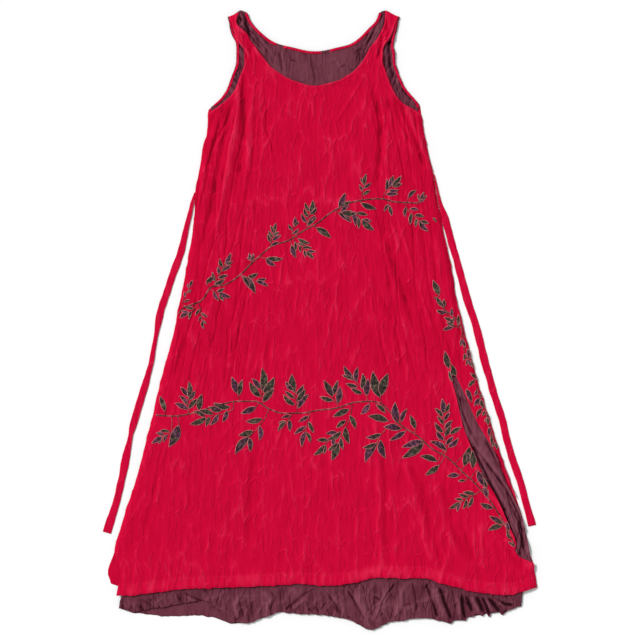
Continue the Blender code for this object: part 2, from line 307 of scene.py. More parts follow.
# %% [markdown]
# ## A panel as a grid
#
# Each panel is a grid of rows and columns. The rows run from the hem up to the lowest point of the
# neck. There the grid parts in two, and each half goes on up its own strap. The places of all the
# points are worked out at once, as arrays.


# %% Panel grid
def quads(index):
    """The faces between the points of a grid, each counter-clockwise from above."""
    return np.stack([index[:-1, :-1], index[:-1, 1:], index[1:, 1:], index[1:, :-1]], -1).reshape(-1, 4)


def crowded(parts):
    """Row shares from 0 to 1, with so many steps in each stretch given as (share, steps)."""
    rows, at = [0.0], 0.0
    for share, steps in parts:
        rows += list(np.linspace(at, share, steps + 1)[1:])
        at = share
    return rows


def panel(face, neck, edge, hem, rows, half_columns, strap_rows):
    """The places and faces of a panel. A row's points are spread evenly from its side edge to a
    middle line, which leans from the hem's middle to the neck's lowest point. On a strap the rows
    stand closer together low down, as the squares of even steps."""
    low, middle_x = neck["height"][0], neck["left"][0]
    share = np.linspace(-1, 1, 2 * half_columns + 1)

    def across(height, v):
        left, right = edge(f"{face}_left", height), edge(f"{face}_right", height)
        middle = middle_x * v + 0.5 * (left + right) * (1 - v)
        return np.where(share < 0, middle + (middle - left) * share, middle + (right - middle) * share)

    foot = hem_height(hem, across(np.full(share.shape, hem["height"][0]), 0.0))
    v = np.asarray(rows)[:, None]
    y = foot + (low - foot) * v
    x = across(y, v)
    index = np.arange(x.size).reshape(x.shape)
    points, faces = [np.column_stack([x.ravel(), y.ravel()])], [quads(index)]
    rise = np.linspace(0, 1, strap_rows + 1)[1:, None] ** 2
    for hand, part in (("left", slice(0, half_columns + 1)), ("right", slice(half_columns, None))):
        inward = np.linspace(0, 1, half_columns + 1)
        inward = inward if hand == "left" else inward[::-1]
        outer, inner = edge(f"{face}_{hand}", SHOULDER["low"]), neck_edge(neck, hand, SHOULDER["low"])
        arm, neck_side = SHOULDER[hand]
        share_in = (outer + (inner - outer) * inward - arm) / (neck_side - arm)
        crown = SHOULDER["crown"] * np.sin(np.pi * share_in**2)
        top = SHOULDER["low"] + SHOULDER["slope"] * share_in + crown
        y = low + rise * (top - low)
        outer, inner = edge(f"{face}_{hand}", y), neck_edge(neck, hand, y)
        x = outer + (inner - outer) * inward
        first = sum(len(p) for p in points)
        block = first + np.arange(x.size).reshape(x.shape)
        points.append(np.column_stack([x.ravel(), y.ravel()]))
        faces.append(quads(np.vstack([index[-1, part], block])))
    return np.vstack(points), np.vstack(faces)


# %% [markdown]
# ## Edges with a thickness
#
# A sheet with no thickness looks like paper at its edge. Real cloth is turned under there. So a few
# rings of faces go round each edge: out a little, down, and back under the cloth.


# %% Turned edges
def turned(points, faces, rings):
    """Adds rings of faces round every open edge. Each ring is a copy of the edge moved outwards and
    down by the two numbers given, where outwards is square to the edge."""
    a, b = faces.ravel(), np.roll(faces, -1, axis=1).ravel()
    size = len(points)
    key, back = a * size + b, b * size + a
    open_edge = ~np.isin(key, back)
    a, b = a[open_edge], b[open_edge]
    run = points[b, :2] - points[a, :2]
    outward = np.zeros((size, 2))
    for end in (a, b):
        np.add.at(outward, end, np.column_stack([run[:, 1], -run[:, 0]]))
    edge = np.unique(np.concatenate([a, b]))
    outward = outward[edge] / np.maximum(np.hypot(*outward[edge].T), 1e-6)[:, None]
    place = np.full(size, -1)
    place[edge] = np.arange(len(edge))
    a_last, b_last = a, b
    all_points, all_faces = [points], [faces]
    for k, (out, down) in enumerate(rings):
        ring = points[edge] + np.column_stack([outward * out, np.full(len(edge), -down)])
        ring[:, 2] = np.maximum(ring[:, 2], 0.05)
        first = size + k * len(edge)
        a_new, b_new = first + place[a], first + place[b]
        all_points.append(ring)
        all_faces.append(np.column_stack([b_last, a_last, a_new, b_new]))
        a_last, b_last = a_new, b_new
    return np.vstack(all_points), np.vstack(all_faces)


def piece(name, points, faces, paint, fields=None):
    """A smooth mesh object from points in millimetres, with a number for each point in each field."""
    mesh = bpy.data.meshes.new(name)
    mesh.from_pydata((np.asarray(points) * MM).tolist(), [], [list(f) for f in faces])
    for field, values in (fields or {}).items():
        full = np.zeros(len(points))
        full[: len(values)] = values
        mesh.attributes.new(field, "FLOAT", "POINT").data.foreach_set("value", full)
    mesh.polygons.foreach_set("use_smooth", np.ones(len(mesh.polygons), bool))
    mesh.materials.append(paint)
    made = bpy.data.objects.new(name, mesh)
    bpy.context.scene.collection.objects.link(made)
    triangles = sum(len(f) - 2 for f in faces)
    print(f"{name}: {len(points)} points, {triangles} triangles")
    return made


# %% [markdown]
# ## Crepe and its colours
#
# Crinkled crepe is matt, with a fine pebbly grain. Light and shade are painted into its colour:
# lighter on the ridges and deeper in the hollows. Each panel keeps its relief as an attribute, and the
# material's colour follows it. The finest creases get a painted highlight on the red cloth and painted
# shade on the plum. The grain is a bump from noise in Object coordinates, stretched along the dress.


# %% Crepe material
def new_material(name):
    """A function that adds a node with its settings and inputs, one that fills in the material's
    shader and returns the material, and its Object coordinates. An input is a number or another
    node's output; i0, i1 and i2 are inputs by their place."""
    made = bpy.data.materials.new(name)
    made.use_nodes = True
    tree = made.node_tree

    def join(value, socket):
        if isinstance(value, bpy.types.Node):
            value = value.outputs[0]
        if isinstance(value, bpy.types.NodeSocket):
            tree.links.new(value, socket)
        else:
            socket.default_value = value

    def add(kind, settings=None, **inputs):
        node = tree.nodes.new("ShaderNode" + kind)
        for key, value in (settings or {}).items():
            setattr(node, key, value)
        for key, value in inputs.items():
            place = int(key[1]) if key in ("i0", "i1", "i2") else key.replace("_", " ")
            join(value, node.inputs[place])
        return node

    def paint(**inputs):
        for key, value in inputs.items():
            join(value, tree.nodes["Principled BSDF"].inputs[key.replace("_", " ")])
        return made

    return add, paint, add("TexCoord").outputs["Object"]


def ramp_of(add, value, stops):
    """A colour ramp through (place, colour) stops."""
    node = add("ValToRGB", Fac=value)
    elements = node.color_ramp.elements
    for (place, colour), element in zip(stops[:2], elements):
        element.position, element.color = place, (*colour, 1)
    for place, colour in stops[2:]:
        elements.new(place).color = (*colour, 1)
    return node


def crepe(name, deep, middle, light, sheen, size, hollow, crease_light_shade):
    """A matt crinkled cloth with painted light and shade: its colour runs from deep in the hollows
    through middle to light on the ridges with the relief, and thin creases, with a painted highlight or
    painted shade by their tone, run along the borders of stretched cells of the given size in metres.
    The deepest hollows get a painted shadow, the given share as bright as deep."""
    add, paint, place = new_material(name)
    relief = add("Attribute", {"attribute_name": "relief"}).outputs["Fac"]
    wander = add("TexNoise", Vector=place, Scale=30.0, Detail=3.0).outputs["Color"]
    reach = (1.2 * size, 1.2 * size, 0)
    moved = add("VectorMath", {"operation": "MULTIPLY_ADD"}, i0=wander, i1=reach, i2=place)
    squeezed = add("Mapping", Vector=moved, Scale=(1.0, 0.19, 1.0))
    border = add("TexVoronoi", {"feature": "DISTANCE_TO_EDGE", "voronoi_dimensions": "2D"},
                 Vector=squeezed, Scale=1 / size).outputs["Distance"]
    line = add("MapRange", {"interpolation_type": "SMOOTHSTEP"},
               Value=border, From_Max=0.09, To_Min=1.0, To_Max=0.0)
    patches = add("TexNoise", Vector=place, Scale=22.0, Detail=1.0)
    shown = add("MapRange", Value=patches, From_Min=0.36, From_Max=0.58)
    crease = add("Math", {"operation": "MULTIPLY"}, i0=line, i1=shown)

    stretched = add("Mapping", Vector=place, Scale=(1.0, 0.3, 1.0))
    mottle = add("TexNoise", Vector=stretched, Scale=95.0, Detail=3.0)
    # painted light and shade: lighter on the ridges and darker in the hollows by the relief, and a
    # painted highlight or painted shade on the creases
    tone = add("Math", {"operation": "MULTIPLY_ADD"}, i0=mottle, i1=0.34, i2=relief)
    tone = add("Math", {"operation": "MULTIPLY_ADD"}, i0=crease, i1=crease_light_shade, i2=tone)
    tone = add("Math", {"operation": "SUBTRACT"}, i0=tone, i1=0.20)
    # a painted shadow in the deepest hollows
    hollow_shadow_colour = tuple(hollow * part for part in deep)
    colour = ramp_of(add, tone, ((0.1, deep), (0.95, light), (0.5, middle), (0.0, hollow_shadow_colour)))

    grain = add("TexNoise", Vector=stretched, Scale=620.0, Detail=2.0)
    weave = add("TexNoise", Vector=place, Scale=1500.0)
    both = add("Math", {"operation": "MULTIPLY_ADD"}, i0=weave, i1=0.35, i2=grain)
    folded_edge = add("Bump", Height=crease, Strength=0.8, Distance=0.0012)
    bump = add("Bump", Height=both, Strength=0.5, Distance=0.0010, Normal=folded_edge)
    return paint(Base_Color=colour, Normal=bump, Roughness=0.85, Specular_IOR_Level=0.05,
                 Sheen_Weight=sheen, Sheen_Roughness=0.4, Sheen_Tint=(*light, 1))


red_crepe = crepe(
    "red_crepe", deep=(0.47, 0.0, 0.024), middle=(0.575, 0.0012, 0.036), light=(0.71, 0.020, 0.072),
    sheen=0.12, size=0.0125, hollow=0.6, crease_light_shade=0.17,
)
plum_crepe = crepe(
    "plum_crepe", deep=(0.07, 0.010, 0.022), middle=(0.148, 0.0355, 0.0550),
    light=(0.205, 0.058, 0.086), sheen=0.10, size=0.0095, hollow=0.3, crease_light_shade=-0.32,
)
print("cloths:", red_crepe.name, plum_crepe.name)

# %% [markdown]
# ## The crinkle
#
# The cloth was dried twisted, which leaves thin raised lines that part and meet again, so that they
# enclose long narrow shapes. The borders of cells round scattered points are just such a net, so a
# crease is raised along each border. The cells are stretched along the dress and wander.


# %% Crinkle
def borders(u, v, seed):
    """How near each place is to a border between cells. Each square of a lattice holds one point,
    and this is how much farther the second nearest point is than the nearest one."""
    spots = np.random.default_rng(seed).uniform(0, 1, (2, LATTICE, LATTICE))
    i, j = np.floor(u).astype(int), np.floor(v).astype(int)
    first, second = np.full(u.shape, 9.0), np.full(u.shape, 9.0)
    for di in (-1, 0, 1):
        for dj in (-1, 0, 1):
            a, b = (i + di) % LATTICE, (j + dj) % LATTICE
            far = np.hypot(i + di + spots[0, a, b] - u, j + dj + spots[1, a, b] - v)
            first, second = np.minimum(first, far), np.minimum(second, np.maximum(first, far))
    return second - first


CREASES = (  # the cells' width and length, how they lean, the creases' height and half width, in mm
    (19, 74, 0.05, 1.45, 1.2),
    (31, 130, -0.08, 1.7, 1.35),
    (11, 44, 0.0, 1.0, 1.0),
)


def crinkle(x, y, seed, creases=CREASES):
    """The crinkle's height: sharp creases on the borders of leaning, stretched, wandering cells,
    strong in some places and faint in others, over a soft swell."""
    drift_x = 8 * noise(x / 60, y / 80, seed) + 5 * noise(x / 17, y / 24, seed + 1)
    drift_y = 9 * noise(x / 22, y / 30, seed + 2)
    swell = ((0.5, 26, 120, 3), (0.4, 11, 50, 4))
    total = sum(high * noise((x + drift_x) / wide, y / long, seed + k) for high, wide, long, k in swell)
    for k, (wide, long, lean, high, half) in enumerate(creases):
        gap = borders((x + drift_x + lean * y) / wide, (y + drift_y) / long, seed + 5 + k) * wide / 2
        shown = np.clip(0.58 + 1.3 * noise(x / 45, y / 70, seed + 10 + k), 0.2, 1.15)
        total = total + high * shown * np.exp(-gap / half)
    return total


# %% [markdown]
# ## The folds
#
# Where the dress lies on itself it has a few larger folds, most of them below the armholes and down
# the skirt. Each is a row here: its height, negative for a trough, its width, and the places that it
# runs through.

# %% Folds
FOLDS = (
    (-2.9, 9, (-156, 520), (-161, 419), (-163, 356), (-171, 293)),
    (-2.8, 9, (-184, 461), (-205, 356), (-226, 251), (-245, 146)),
    (-2.0, 7, (-198, 440), (-226, 356)),
    (-2.0, 7, (-222, 436), (-251, 314)),
    (-2.9, 9, (112, 491), (131, 407), (121, 277)),
    (-3.4, 7, (144, 466), (148, 436)),
    (-2.9, 9, (161, 470), (207, 361), (228, 310)),
    (-2.0, 6, (198, 428), (205, 394)),
    (-3.0, 11, (123, 226), (169, 71), (203, -22)),
    (-1.8, 9, (-104, -32), (-110, -106)),
    (-1.7, 13, (-135, -275), (-146, -400), (-150, -490)),
    (-2.0, 9, (130, -269), (139, -326), (139, -441), (152, -527)),
    (-2.4, 12, (190, -299), (215, -357), (232, -420), (245, -473), (259, -530)),
    (1.3, 11, (172, -285), (197, -357), (214, -420), (227, -473), (240, -528)),
    (-1.9, 10, (259, -339), (281, -433), (303, -485), (320, -512)),
    (1.2, 9, (245, -345), (266, -433), (288, -489), (304, -520)),
    (1.2, 10, (116, -275), (124, -326), (124, -441), (134, -527)),
    (-1.6, 12, (289, -415), (327, -505), (345, -550)),
    (-2.0, 8, (379, -463), (425, -526)),
    (-2.2, 9, (-278, -32), (-310, -131)),
    (-2.0, 9, (-331, -295), (-366, -446)),
    (1.6, 3.5, (-293, -295), (-268, -337), (-236, -410)),
    (2.6, 12, (-171, 503), (-175, 419), (-192, 314), (-222, 167)),
    (2.2, 10, (-142, 482), (-146, 398), (-152, 293)),
    (2.2, 10, (144, 419), (140, 314), (152, 220)),
    (2.4, 10, (177, 461), (219, 356), (240, 293)),
    (1.4, 4, (-33, 482), (-14, 468), (1, 482)),
    (1.4, 4, (-14, 468), (-12, 419)),
    (1.6, 4, (89, 503), (35, 415)),
    (1.8, 6, (161, 220), (211, 62), (236, -22)),
    (-1.6, 4, (423, -498), (429, -572)),
    (-2.6, 3.6, (-160, 500), (-163, 455), (-158, 405), (-156, 372)),
    (-2.4, 3.6, (-186, 448), (-200, 406), (-222, 372), (-240, 305)),
    (2.0, 3.4, (-180, 448), (-193, 405), (-213, 370)),
    (-2.0, 3.4, (-110, 462), (-112, 400), (-102, 372), (-96, 345)),
    (-2.6, 3.6, (115, 495), (110, 469), (121, 438), (125, 405), (125, 382)),
    (2.0, 3.4, (127, 470), (132, 450), (136, 416), (133, 385)),
    (-2.4, 3.4, (163, 466), (159, 450), (170, 416), (185, 382), (200, 363)),
    (2.0, 3.4, (172, 462), (168, 448), (178, 416), (193, 384)),
    (2.6, 4.5, (-176, 588), (-161, 574), (-150, 558), (-148, 544)),
    (-4.2, 3.2, (-173, 580), (-159, 567), (-154, 556), (-155, 544)),
    (-3.2, 3.0, (-154, 604), (-147, 595), (-143, 583), (-136, 570)),
    (-3.0, 3.0, (-146, 582), (-144, 572), (-147, 558)),
    (2.0, 3.2, (-178, 617), (-164, 606), (-156, 600)),
    (-3.4, 3.2, (-190, 630), (-186, 612), (-180, 592)),
    (1.8, 4, (-140, 592), (-136, 572), (-126, 548)),
    (-2.6, 4, (140, 630), (141, 611), (149, 592)),
    (-2.6, 4, (131, 600), (128, 573), (121, 545)),
    (2.0, 4, (137, 598), (134, 572), (129, 540)),
    (1.6, 4, (152, 626), (153, 608), (146, 590)),
    (2.4, 7, (413, -473), (379, -391), (337, -343), (314, -259), (285, -158), (262, -62)),
    (2.2, 6, (276, -87), (329, -211), (381, -297), (419, -391)),
)


def folded(x, y, folds):
    """The height of all folds together: each is a soft ridge or trough that falls off to either
    side of its line, and towards its two ends."""
    total = np.zeros(np.shape(x))
    for height, width, *line in folds:
        ends = np.min([np.hypot(x - line[k][0], y - line[k][1]) for k in (0, -1)], axis=0)
        beside = smooth(1 - near(x, y, line) / width)
        total += height * beside * smooth((ends + 0.3 * width) / (3 * width))
    return total


def pleats(across, along, wide, long, ridge, valley, seed, half=2.1):
    """Long folds on the borders of stretched cells: a ridge on each, and a valley beside it that
    falls to a third of its depth in the half width."""
    on_ridge = borders(across / wide, along / long, seed) * wide / 2
    beside = borders((across + 3.4) / wide, along / long, seed) * wide / 2
    return ridge * np.exp(-on_ridge / 1.9) - valley * np.exp(-beside / half)


def side_folds(x, y):
    """The long folds below the armholes, which follow the side seams' slope."""
    across = x + 0.16 * y * np.sign(x) + 9 * noise(x / 70, y / 130, 51) + 3 * noise(x / 20, y / 45, 52)
    shown = smooth((np.abs(x + 10) - 88) / 80) * smooth((y + 190) / 150) * smooth((480 - y) / 40)
    return shown * pleats(across, y, 27, 260, 1.6, 2.6, 53)


print("folds on the front:", len(FOLDS))

# %% [markdown]
# ## How high each panel lies
#
# From the floor up there are the outer back, the lining back, the lining front and the outer front.
# At the side seams the front comes down to the back in a quarter round. Past the red hem the lining
# has nothing under it, so it falls to the floor and flutes.

# %% Levels
BACK_LEVEL, LINING_BACK_LEVEL, LINING_FRONT_LEVEL, FRONT_LEVEL = 0.9, 2.4, 4.3, 8.2
LOWEST_FRONT = 5.6  # the bottom of the front's deepest troughs
SEAM_LEVEL, SEAM_ROUND = 1.5, 15.0  # the front's height on a side seam, and its round's radius
HEM_BAND = 23.0  # how far above the red hem its stitches are
ROWS_OF_EDGE = np.linspace(-600.0, UNDERARM, 60)


def edge_line(name, heights):
    """The places along a side edge, as a line."""
    return np.column_stack([side_edge(name, heights), heights])


def kept_above(z, lowest, softness):
    """Heights kept above a lowest one with a soft corner: the log of one plus the exponential."""
    return lowest + np.logaddexp(0, (z - lowest) / softness) * softness


def quarter_round(distance, radius):
    """From 0 at an edge to 1 past the radius, as a quarter circle rises."""
    t = np.clip(distance / radius, 0, 1)
    return np.sqrt(1 - (1 - t) ** 2)


FRONT_SIDES = ("front_left", "front_right")
SEAMS = [edge_line(name, ROWS_OF_EDGE) for name in FRONT_SIDES]
ARMS = [edge_line(name, np.linspace(UNDERARM, 636, 30)) for name in FRONT_SIDES]
NECK_FOOT, NECK_TALL = 491, 155
NECK_LINE = neck_curve(FRONT_NECK, NECK_FOOT + NECK_TALL * np.linspace(0, 1, 24) ** 2)
RIMS = (NECK_LINE, *ARMS)
SHOULDERS = [[(-193, 636), (-182, 641), (-169, 649)], [(167, 636), (155, 641), (138, 649)]]
EDGE_ROUNDS = (  # a line, the height that the front comes down to, how far out, and the radius
    *((line, SEAM_LEVEL + 2.6, 1.5, 8) for line in ARMS), (NECK_LINE, SEAM_LEVEL + 3, 2.5, 8),
    *((line, SEAM_LEVEL, 0.6, 9) for line in SHOULDERS),
)

# %% [markdown]
# ## The plum lining
#
# The lining is a dress of its own, longer than the red one. It shows in the slash, inside the neck
# and the armholes, and below the hem. In the slash its folds run along the slash, and below the hem
# it flutes, most of all on the right, where it has nothing under it and falls to the floor.

# %% Lining heights
SLASH_FOLDS = (
    (-5.0, 3.4, (309, -246), (329, -282), (343, -311), (362, -349), (387, -397), (401, -437),
     (416, -470)),
    (-4.2, 3.4, (321, -263), (358, -311), (391, -355), (416, -403), (425, -432)),
    (-3.6, 3.0, (348, -253), (372, -297), (396, -349)),
    (-4.4, 3.2, (391, -360), (401, -388), (418, -422), (425, -442), (430, -485)),
    (-2.6, 3.0, (290, -150), (303, -200), (322, -250)),
    (2.4, 6, (316, -242), (336, -279), (350, -308), (369, -346), (394, -394), (408, -434)),
    (2.4, 6, (330, -262), (366, -309), (399, -352), (423, -400)),
    (2.6, 5, (424, -420), (441, -460), (438, -500)),
    (-5.0, 3.4, (416, -425), (426, -465), (418, -500)),
    (-4.0, 3.0, (436, -440), (446, -475), (444, -505)),
    (2.0, 6, (285, -150), (300, -210), (318, -262)),
)
HEM_FOLDS = (
    (-6, 5.0, (298, -580), (302, -611), (307, -631)),
    (-6, 5.0, (307, -578), (322, -616)),
    (-6, 5.2, (327, -578), (338, -598), (345, -618)),
    (-6, 4.8, (340, -580), (349, -596), (358, -622)),
    (-6, 5.0, (353, -582), (369, -600), (380, -616)),
    (-5, 4.6, (367, -582), (389, -598), (411, -600)),
    (-5, 4.8, (247, -549), (260, -585), (278, -633)),
    (-4, 3.6, (222, -548), (236, -590), (250, -628)),
    (-2.6, 3.2, (196, -552), (204, -600), (200, -630)),
    (3.6, 7, (290, -580), (294, -611), (296, -632)),
    (3.2, 6, (317, -580), (331, -606), (337, -620)),
    (3.2, 6, (346, -582), (360, -606), (370, -616)),
    (3.2, 6, (372, -584), (392, -606)),
    (3.4, 9, (235, -550), (250, -590), (266, -630)),
    (5, 12, (70, -560), (92, -610), (106, -648)),
    (-3.4, 3.6, (58, -566), (78, -600), (100, -640)),
    (4, 10, (150, -560), (128, -600), (112, -640)),
    (-3.4, 3.6, (160, -552), (134, -590), (118, -636)),
    (3.2, 9, (20, -572), (46, -600), (60, -628)),
    (-2.6, 3.2, (8, -564), (34, -600), (44, -622)),
    (3.4, 9, (176, -556), (168, -600), (160, -632)),
    (-2.4, 3.2, (-73, -611), (-31, -576), (-2, -560)),
    (3.0, 6, (-64, -614), (-24, -582)),
    (-2.2, 3.2, (-110, -562), (-92, -585), (-104, -610)),
    (3.4, 8, (-120, -566), (-104, -590), (-116, -618)),
    (-2.2, 3.2, (-150, -560), (-168, -592), (-158, -630)),
    (3.4, 9, (-160, -568), (-178, -600), (-170, -632)),
    (-3.0, 3.2, (-292, -570), (-262, -586), (-232, -596), (-206, -618)),
    (3.0, 6, (-286, -578), (-256, -594), (-226, -606)),
    (-2.4, 3.0, (-240, -564), (-226, -590)),
    (-2.0, 3.0, (-330, -574), (-318, -600)),
    (3.0, 8, (-344, -580), (-334, -606)),
    (-2.0, 3.0, (-384, -584), (-360, -596), (-342, -610)),
    (3.0, 7, (-396, -590), (-384, -606)),
)
NECK_FOLDS = (
    (-3.4, 6, (-158, 640), (-151, 610), (-143, 583)),
    (1.8, 4, (-166, 612), (-158, 592), (-150, 574)),
    (1.7, 4, (-137, 604), (-128, 578), (-118, 554)),
    (-2.4, 4, (-133, 597), (-125, 566)),
    (-2.4, 4, (-114, 577), (-108, 541)),
    (-2.0, 4, (-86, 566), (-77, 518)),
    (1.6, 4, (-80, 566), (-71, 518)),
    (-2.4, 5, (-184, 572), (-182, 530), (-186, 490)),
    (1.6, 4, (-176, 560), (-180, 505)),
    (-1.4, 4, (-20, 560), (-8, 500)),
    (1.4, 5, (30, 555), (50, 520)),
    (-2.2, 4, (124, 632), (114, 602), (98, 580)),
    (1.8, 4, (131, 632), (122, 604), (104, 572)),
    (-2.0, 4, (84, 570), (76, 540)),
    (-2.4, 5, (144, 590), (146, 550), (152, 512)),
    (1.8, 4, (152, 575), (155, 530), (166, 490)),
    (-2.2, 5, (164, 520), (178, 482), (196, 456)),
)
SLASH_WAY = ((256, -50), (303, -195), (340, -290), (388, -375), (430, -510))  # down its middle
FALL = 16.0  # how far past the red hem the lining is down on the floor
FINE_CREASES = ((15, 30, 0.2, 1.7, 1.4), (26, 50, -0.3, 1.6, 1.6))  # the lining's, as in CREASES
NECK_RISE = 1.7  # how much higher the back lining lies where it shows inside the neck
HIDDEN_DROP = 1.4  # how much lower it lies past the red hem
CURL_X, CURL_Y, CURL_RADIUS = -168.0, 629.0, 8.0  # where the left strap's lining curls


def past_red_hem(x, y):
    """From 0 under the red hem to 1 where the lining lies on the floor."""
    return smooth((hem_height(RED_HEM, x) - 3 - y) / FALL)


def slash_folds(x, y):
    """The folds down the slash, in places measured along and across it."""
    down, across = 0.46 * x - 0.89 * y, 0.89 * x + 0.46 * y
    across = across + 4 * noise(down / 40, across / 30, 61)
    return pleats(across, down, 15, 130, 1.8, 2.4, 62, 1.3) + folded(x, y, SLASH_FOLDS)


def on_right(x):
    """From 0 to 1 where the lining below the hem is fluted rather than crinkled."""
    return smooth((x - 235) / 70)


def flutes(x, y):
    """The flutes below the red hem, which lean more and are deeper on the right."""
    right = on_right(x)
    across = x + (0.1 + 0.3 * right) * (y + 590) + 4 * noise(x / 28, y / 26, 65)
    sharp = (0.5 - 0.1 * right) * pleats(across, y, 15, 260, 0.9, 3.2, 66, 1.3)
    return sharp + (0.8 + 0.4 * right) * folded(x, y, HEM_FOLDS)


def lining_front_rough(x, y):
    """The lining front as it would lie with nothing under it: flat under the red front, folded in
    the slash, fluted past the hem."""
    fallen = past_red_hem(x, y)
    open_here = smooth(1.9 - near(x, y, SLASH_WAY) / 42)
    strength = 0.35 + 1.25 * open_here + 2.0 * fallen * (1 - 0.75 * on_right(x))
    z = LINING_FRONT_LEVEL + 0.7 * fallen + 0.6 * crinkle(x, y, 60, FINE_CREASES) * strength
    return z + (1.2 + slash_folds(x, y)) * open_here * (1 - fallen) + flutes(x, y) * fallen


def lining_front_height(x, y):
    """The lining front, kept above the lining back, and above the floor past the hem."""
    lowest = 1.6 + 1.6 * (1 - past_red_hem(x, y))
    return kept_above(lining_front_rough(x, y), lowest, 0.4)


def back_shows(x, y):
    """1 where the back shows inside the neck and the armholes, falling to 0 under the front."""
    left, right = (neck_edge(FRONT_NECK, hand, y) for hand in ("left", "right"))
    in_neck = (y > NECK_FOOT) & (x > left) & (x < right)
    in_arm = (x < side_edge("front_left", y)) | (x > side_edge("front_right", y))
    from_edge = np.min([near(x, y, line) for line in RIMS], axis=0)
    return smooth((y - 440) / 40) * np.where(in_neck | in_arm, 1, smooth(1 - from_edge / 7))


def lining_back_rough(x, y):
    """The lining back: nearly flat, with its crinkle inside the neck, pleats that run down from the
    straps, and a curl on the left strap."""
    shown = back_shows(x, y)
    sides = smooth((np.abs(x + 12) - 75) / 35)
    z = LINING_BACK_LEVEL - HIDDEN_DROP * past_red_hem(x, y) + NECK_RISE * shown
    z = z + (0.08 + 0.34 * shown) * crinkle(x, y, 80, FINE_CREASES)
    z = z + shown * ((0.3 + 0.7 * sides) * crinkle(x, y, 90, FINE_CREASES) + folded(x, y, NECK_FOLDS))
    across = np.where(x < -12, 0.81 * x + 0.58 * y, 0.93 * x - 0.37 * y) + 3 * noise(x / 18, y / 18, 95)
    down = np.where(x < -12, 0.58 * x - 0.81 * y, -0.37 * x - 0.93 * y)
    z = z + shown * sides * pleats(across, down, 10, 60, 1.0, 3.0, 96, 1.3)
    from_curl = np.hypot(x - CURL_X, (y - CURL_Y) * 0.8)
    roll = 3.0 * np.exp(-(((from_curl - CURL_RADIUS) / 1.9) ** 2))
    return z + shown * (roll - 2.5 * np.exp(-((from_curl / 5.5) ** 2)))


def lining_back_height(x, y):
    """The lining back, kept above the outer back."""
    lowest = 1.9 - HIDDEN_DROP * past_red_hem(x, y)
    return kept_above(lining_back_rough(x, y), lowest, 0.3)


# %% [markdown]
# ## How high the outer front lies
#
# The front has its folds and its crinkle, a flat hem band, and a rolled edge beside the neck and the
# armholes. Wherever the lining rises, the front is kept above it.


# %% Front height
def rim(x, y):
    """1 on the rolled edge beside the neck and the armholes, and 0 away from it."""
    return np.max([np.exp(-(((near(x, y, line) - 1.9) / 1.5) ** 2)) for line in RIMS], axis=0)


def hem_band(above_hem):
    """1 on the turned-up hem, falling to 0 just above its stitches."""
    return smooth((HEM_BAND + 3 - above_hem) / 4)


def front_height(x, y):
    """The outer front: its level, folds and crinkle, brought down in a quarter round at the side
    seams and the shoulders, and a little at the neck and the armholes, with a flat hem band. It
    isn't brought down where a side is open: at the slash's foot and at the hem's left corner."""
    above_hem = y - hem_height(RED_HEM, x)
    band = hem_band(above_hem)
    rough = crinkle(x, y, 20) * (1 - 0.45 * band) + folded(x, y, FOLDS) + side_folds(x, y)
    stitch_line = -0.8 * np.exp(-(((above_hem - HEM_BAND) / 2.2) ** 2))
    pucker = band * (1.3 * noise(x / 9, above_hem / 30, 41) + 0.8 * noise(x / 23, 0.5, 42))
    z = FRONT_LEVEL + rough + 0.7 * band + stitch_line + pucker
    z = kept_above(z, np.maximum(LOWEST_FRONT, lining_front_height(x, y) + 0.9), 0.6)
    for line, foot, start, radius in EDGE_ROUNDS:
        z = foot + (z - foot) * quarter_round(near(x, y, line) + start, radius)
    z = z + 1.2 * rim(x, y)
    open_side = smooth((-330 - y) / 60) * smooth((x - 380) / 20) * smooth((y + 540) / 20)
    open_side = np.maximum(open_side, 0.8 * smooth((-492 - y) / 22) * smooth((-340 - x) / 30))
    for line in SEAMS:
        rounded = quarter_round(near(x, y, line) + 0.3, SEAM_ROUND)
        z = SEAM_LEVEL + (z - SEAM_LEVEL) * np.maximum(rounded, open_side)
    return z


# %% [markdown]
# ## The outer front and its slash
#
# The slash runs down beside the side seam and opens over the lining. A Boolean cut through so fine a
# grid leaves slivers. Here the faces inside the slash are left out, and the points of the faces that
# it crosses are moved onto its outline, so the edge is one clean line.


# %% Cutting the slash
def sides_of(outline):
    """The two ends of each side of a closed outline."""
    return zip(outline, np.roll(outline, -1, axis=0))


def inside(x, y, outline):
    """Whether each place is in a closed outline: a ray from it crosses the outline an odd number
    of times."""
    odd = np.zeros(np.shape(x), bool)
    for (x0, y0), (x1, y1) in sides_of(outline):
        if y0 != y1:
            odd ^= ((y0 > y) != (y1 > y)) & (x < (x1 - x0) * (y - y0) / (y1 - y0) + x0)
    return odd


def onto(x, y, outline):
    """The nearest place on a closed outline to each place."""
    best = np.full(np.shape(x), 1e9)
    found = np.zeros((len(x), 2))
    for (x0, y0), (x1, y1) in sides_of(outline):
        dx, dy = x1 - x0, y1 - y0
        t = np.clip(((x - x0) * dx + (y - y0) * dy) / max(dx * dx + dy * dy, 1e-9), 0, 1)
        spot = np.column_stack([x0 + t * dx, y0 + t * dy])
        distance = np.hypot(x - spot[:, 0], y - spot[:, 1])
        closer = distance < best
        best[closer], found[closer] = distance[closer], spot[closer]
    return found


def without(points, faces, outline):
    """The grid with the outline cut out of it, and the points that no face uses left out."""
    within = inside(points[:, 0], points[:, 1], outline)
    faces = faces[~within[faces].all(axis=1)]
    points = points.copy()
    moved = within & np.isin(np.arange(len(points)), faces)
    points[moved] = onto(points[moved, 0], points[moved, 1], outline)
    used, renumbered = np.unique(faces, return_inverse=True)
    return points[used], renumbered.reshape(faces.shape)


def along(line, step):
    """Points along a line at about this step, on a smooth curve through its points."""
    line = np.asarray(line, float)
    length = np.concatenate([[0], np.cumsum(np.hypot(*np.diff(line, axis=0).T))])
    at = np.linspace(0, length[-1], max(int(length[-1] / step), 1) + 1)
    return np.column_stack([through(at, length, line[:, 0]), through(at, length, line[:, 1])])


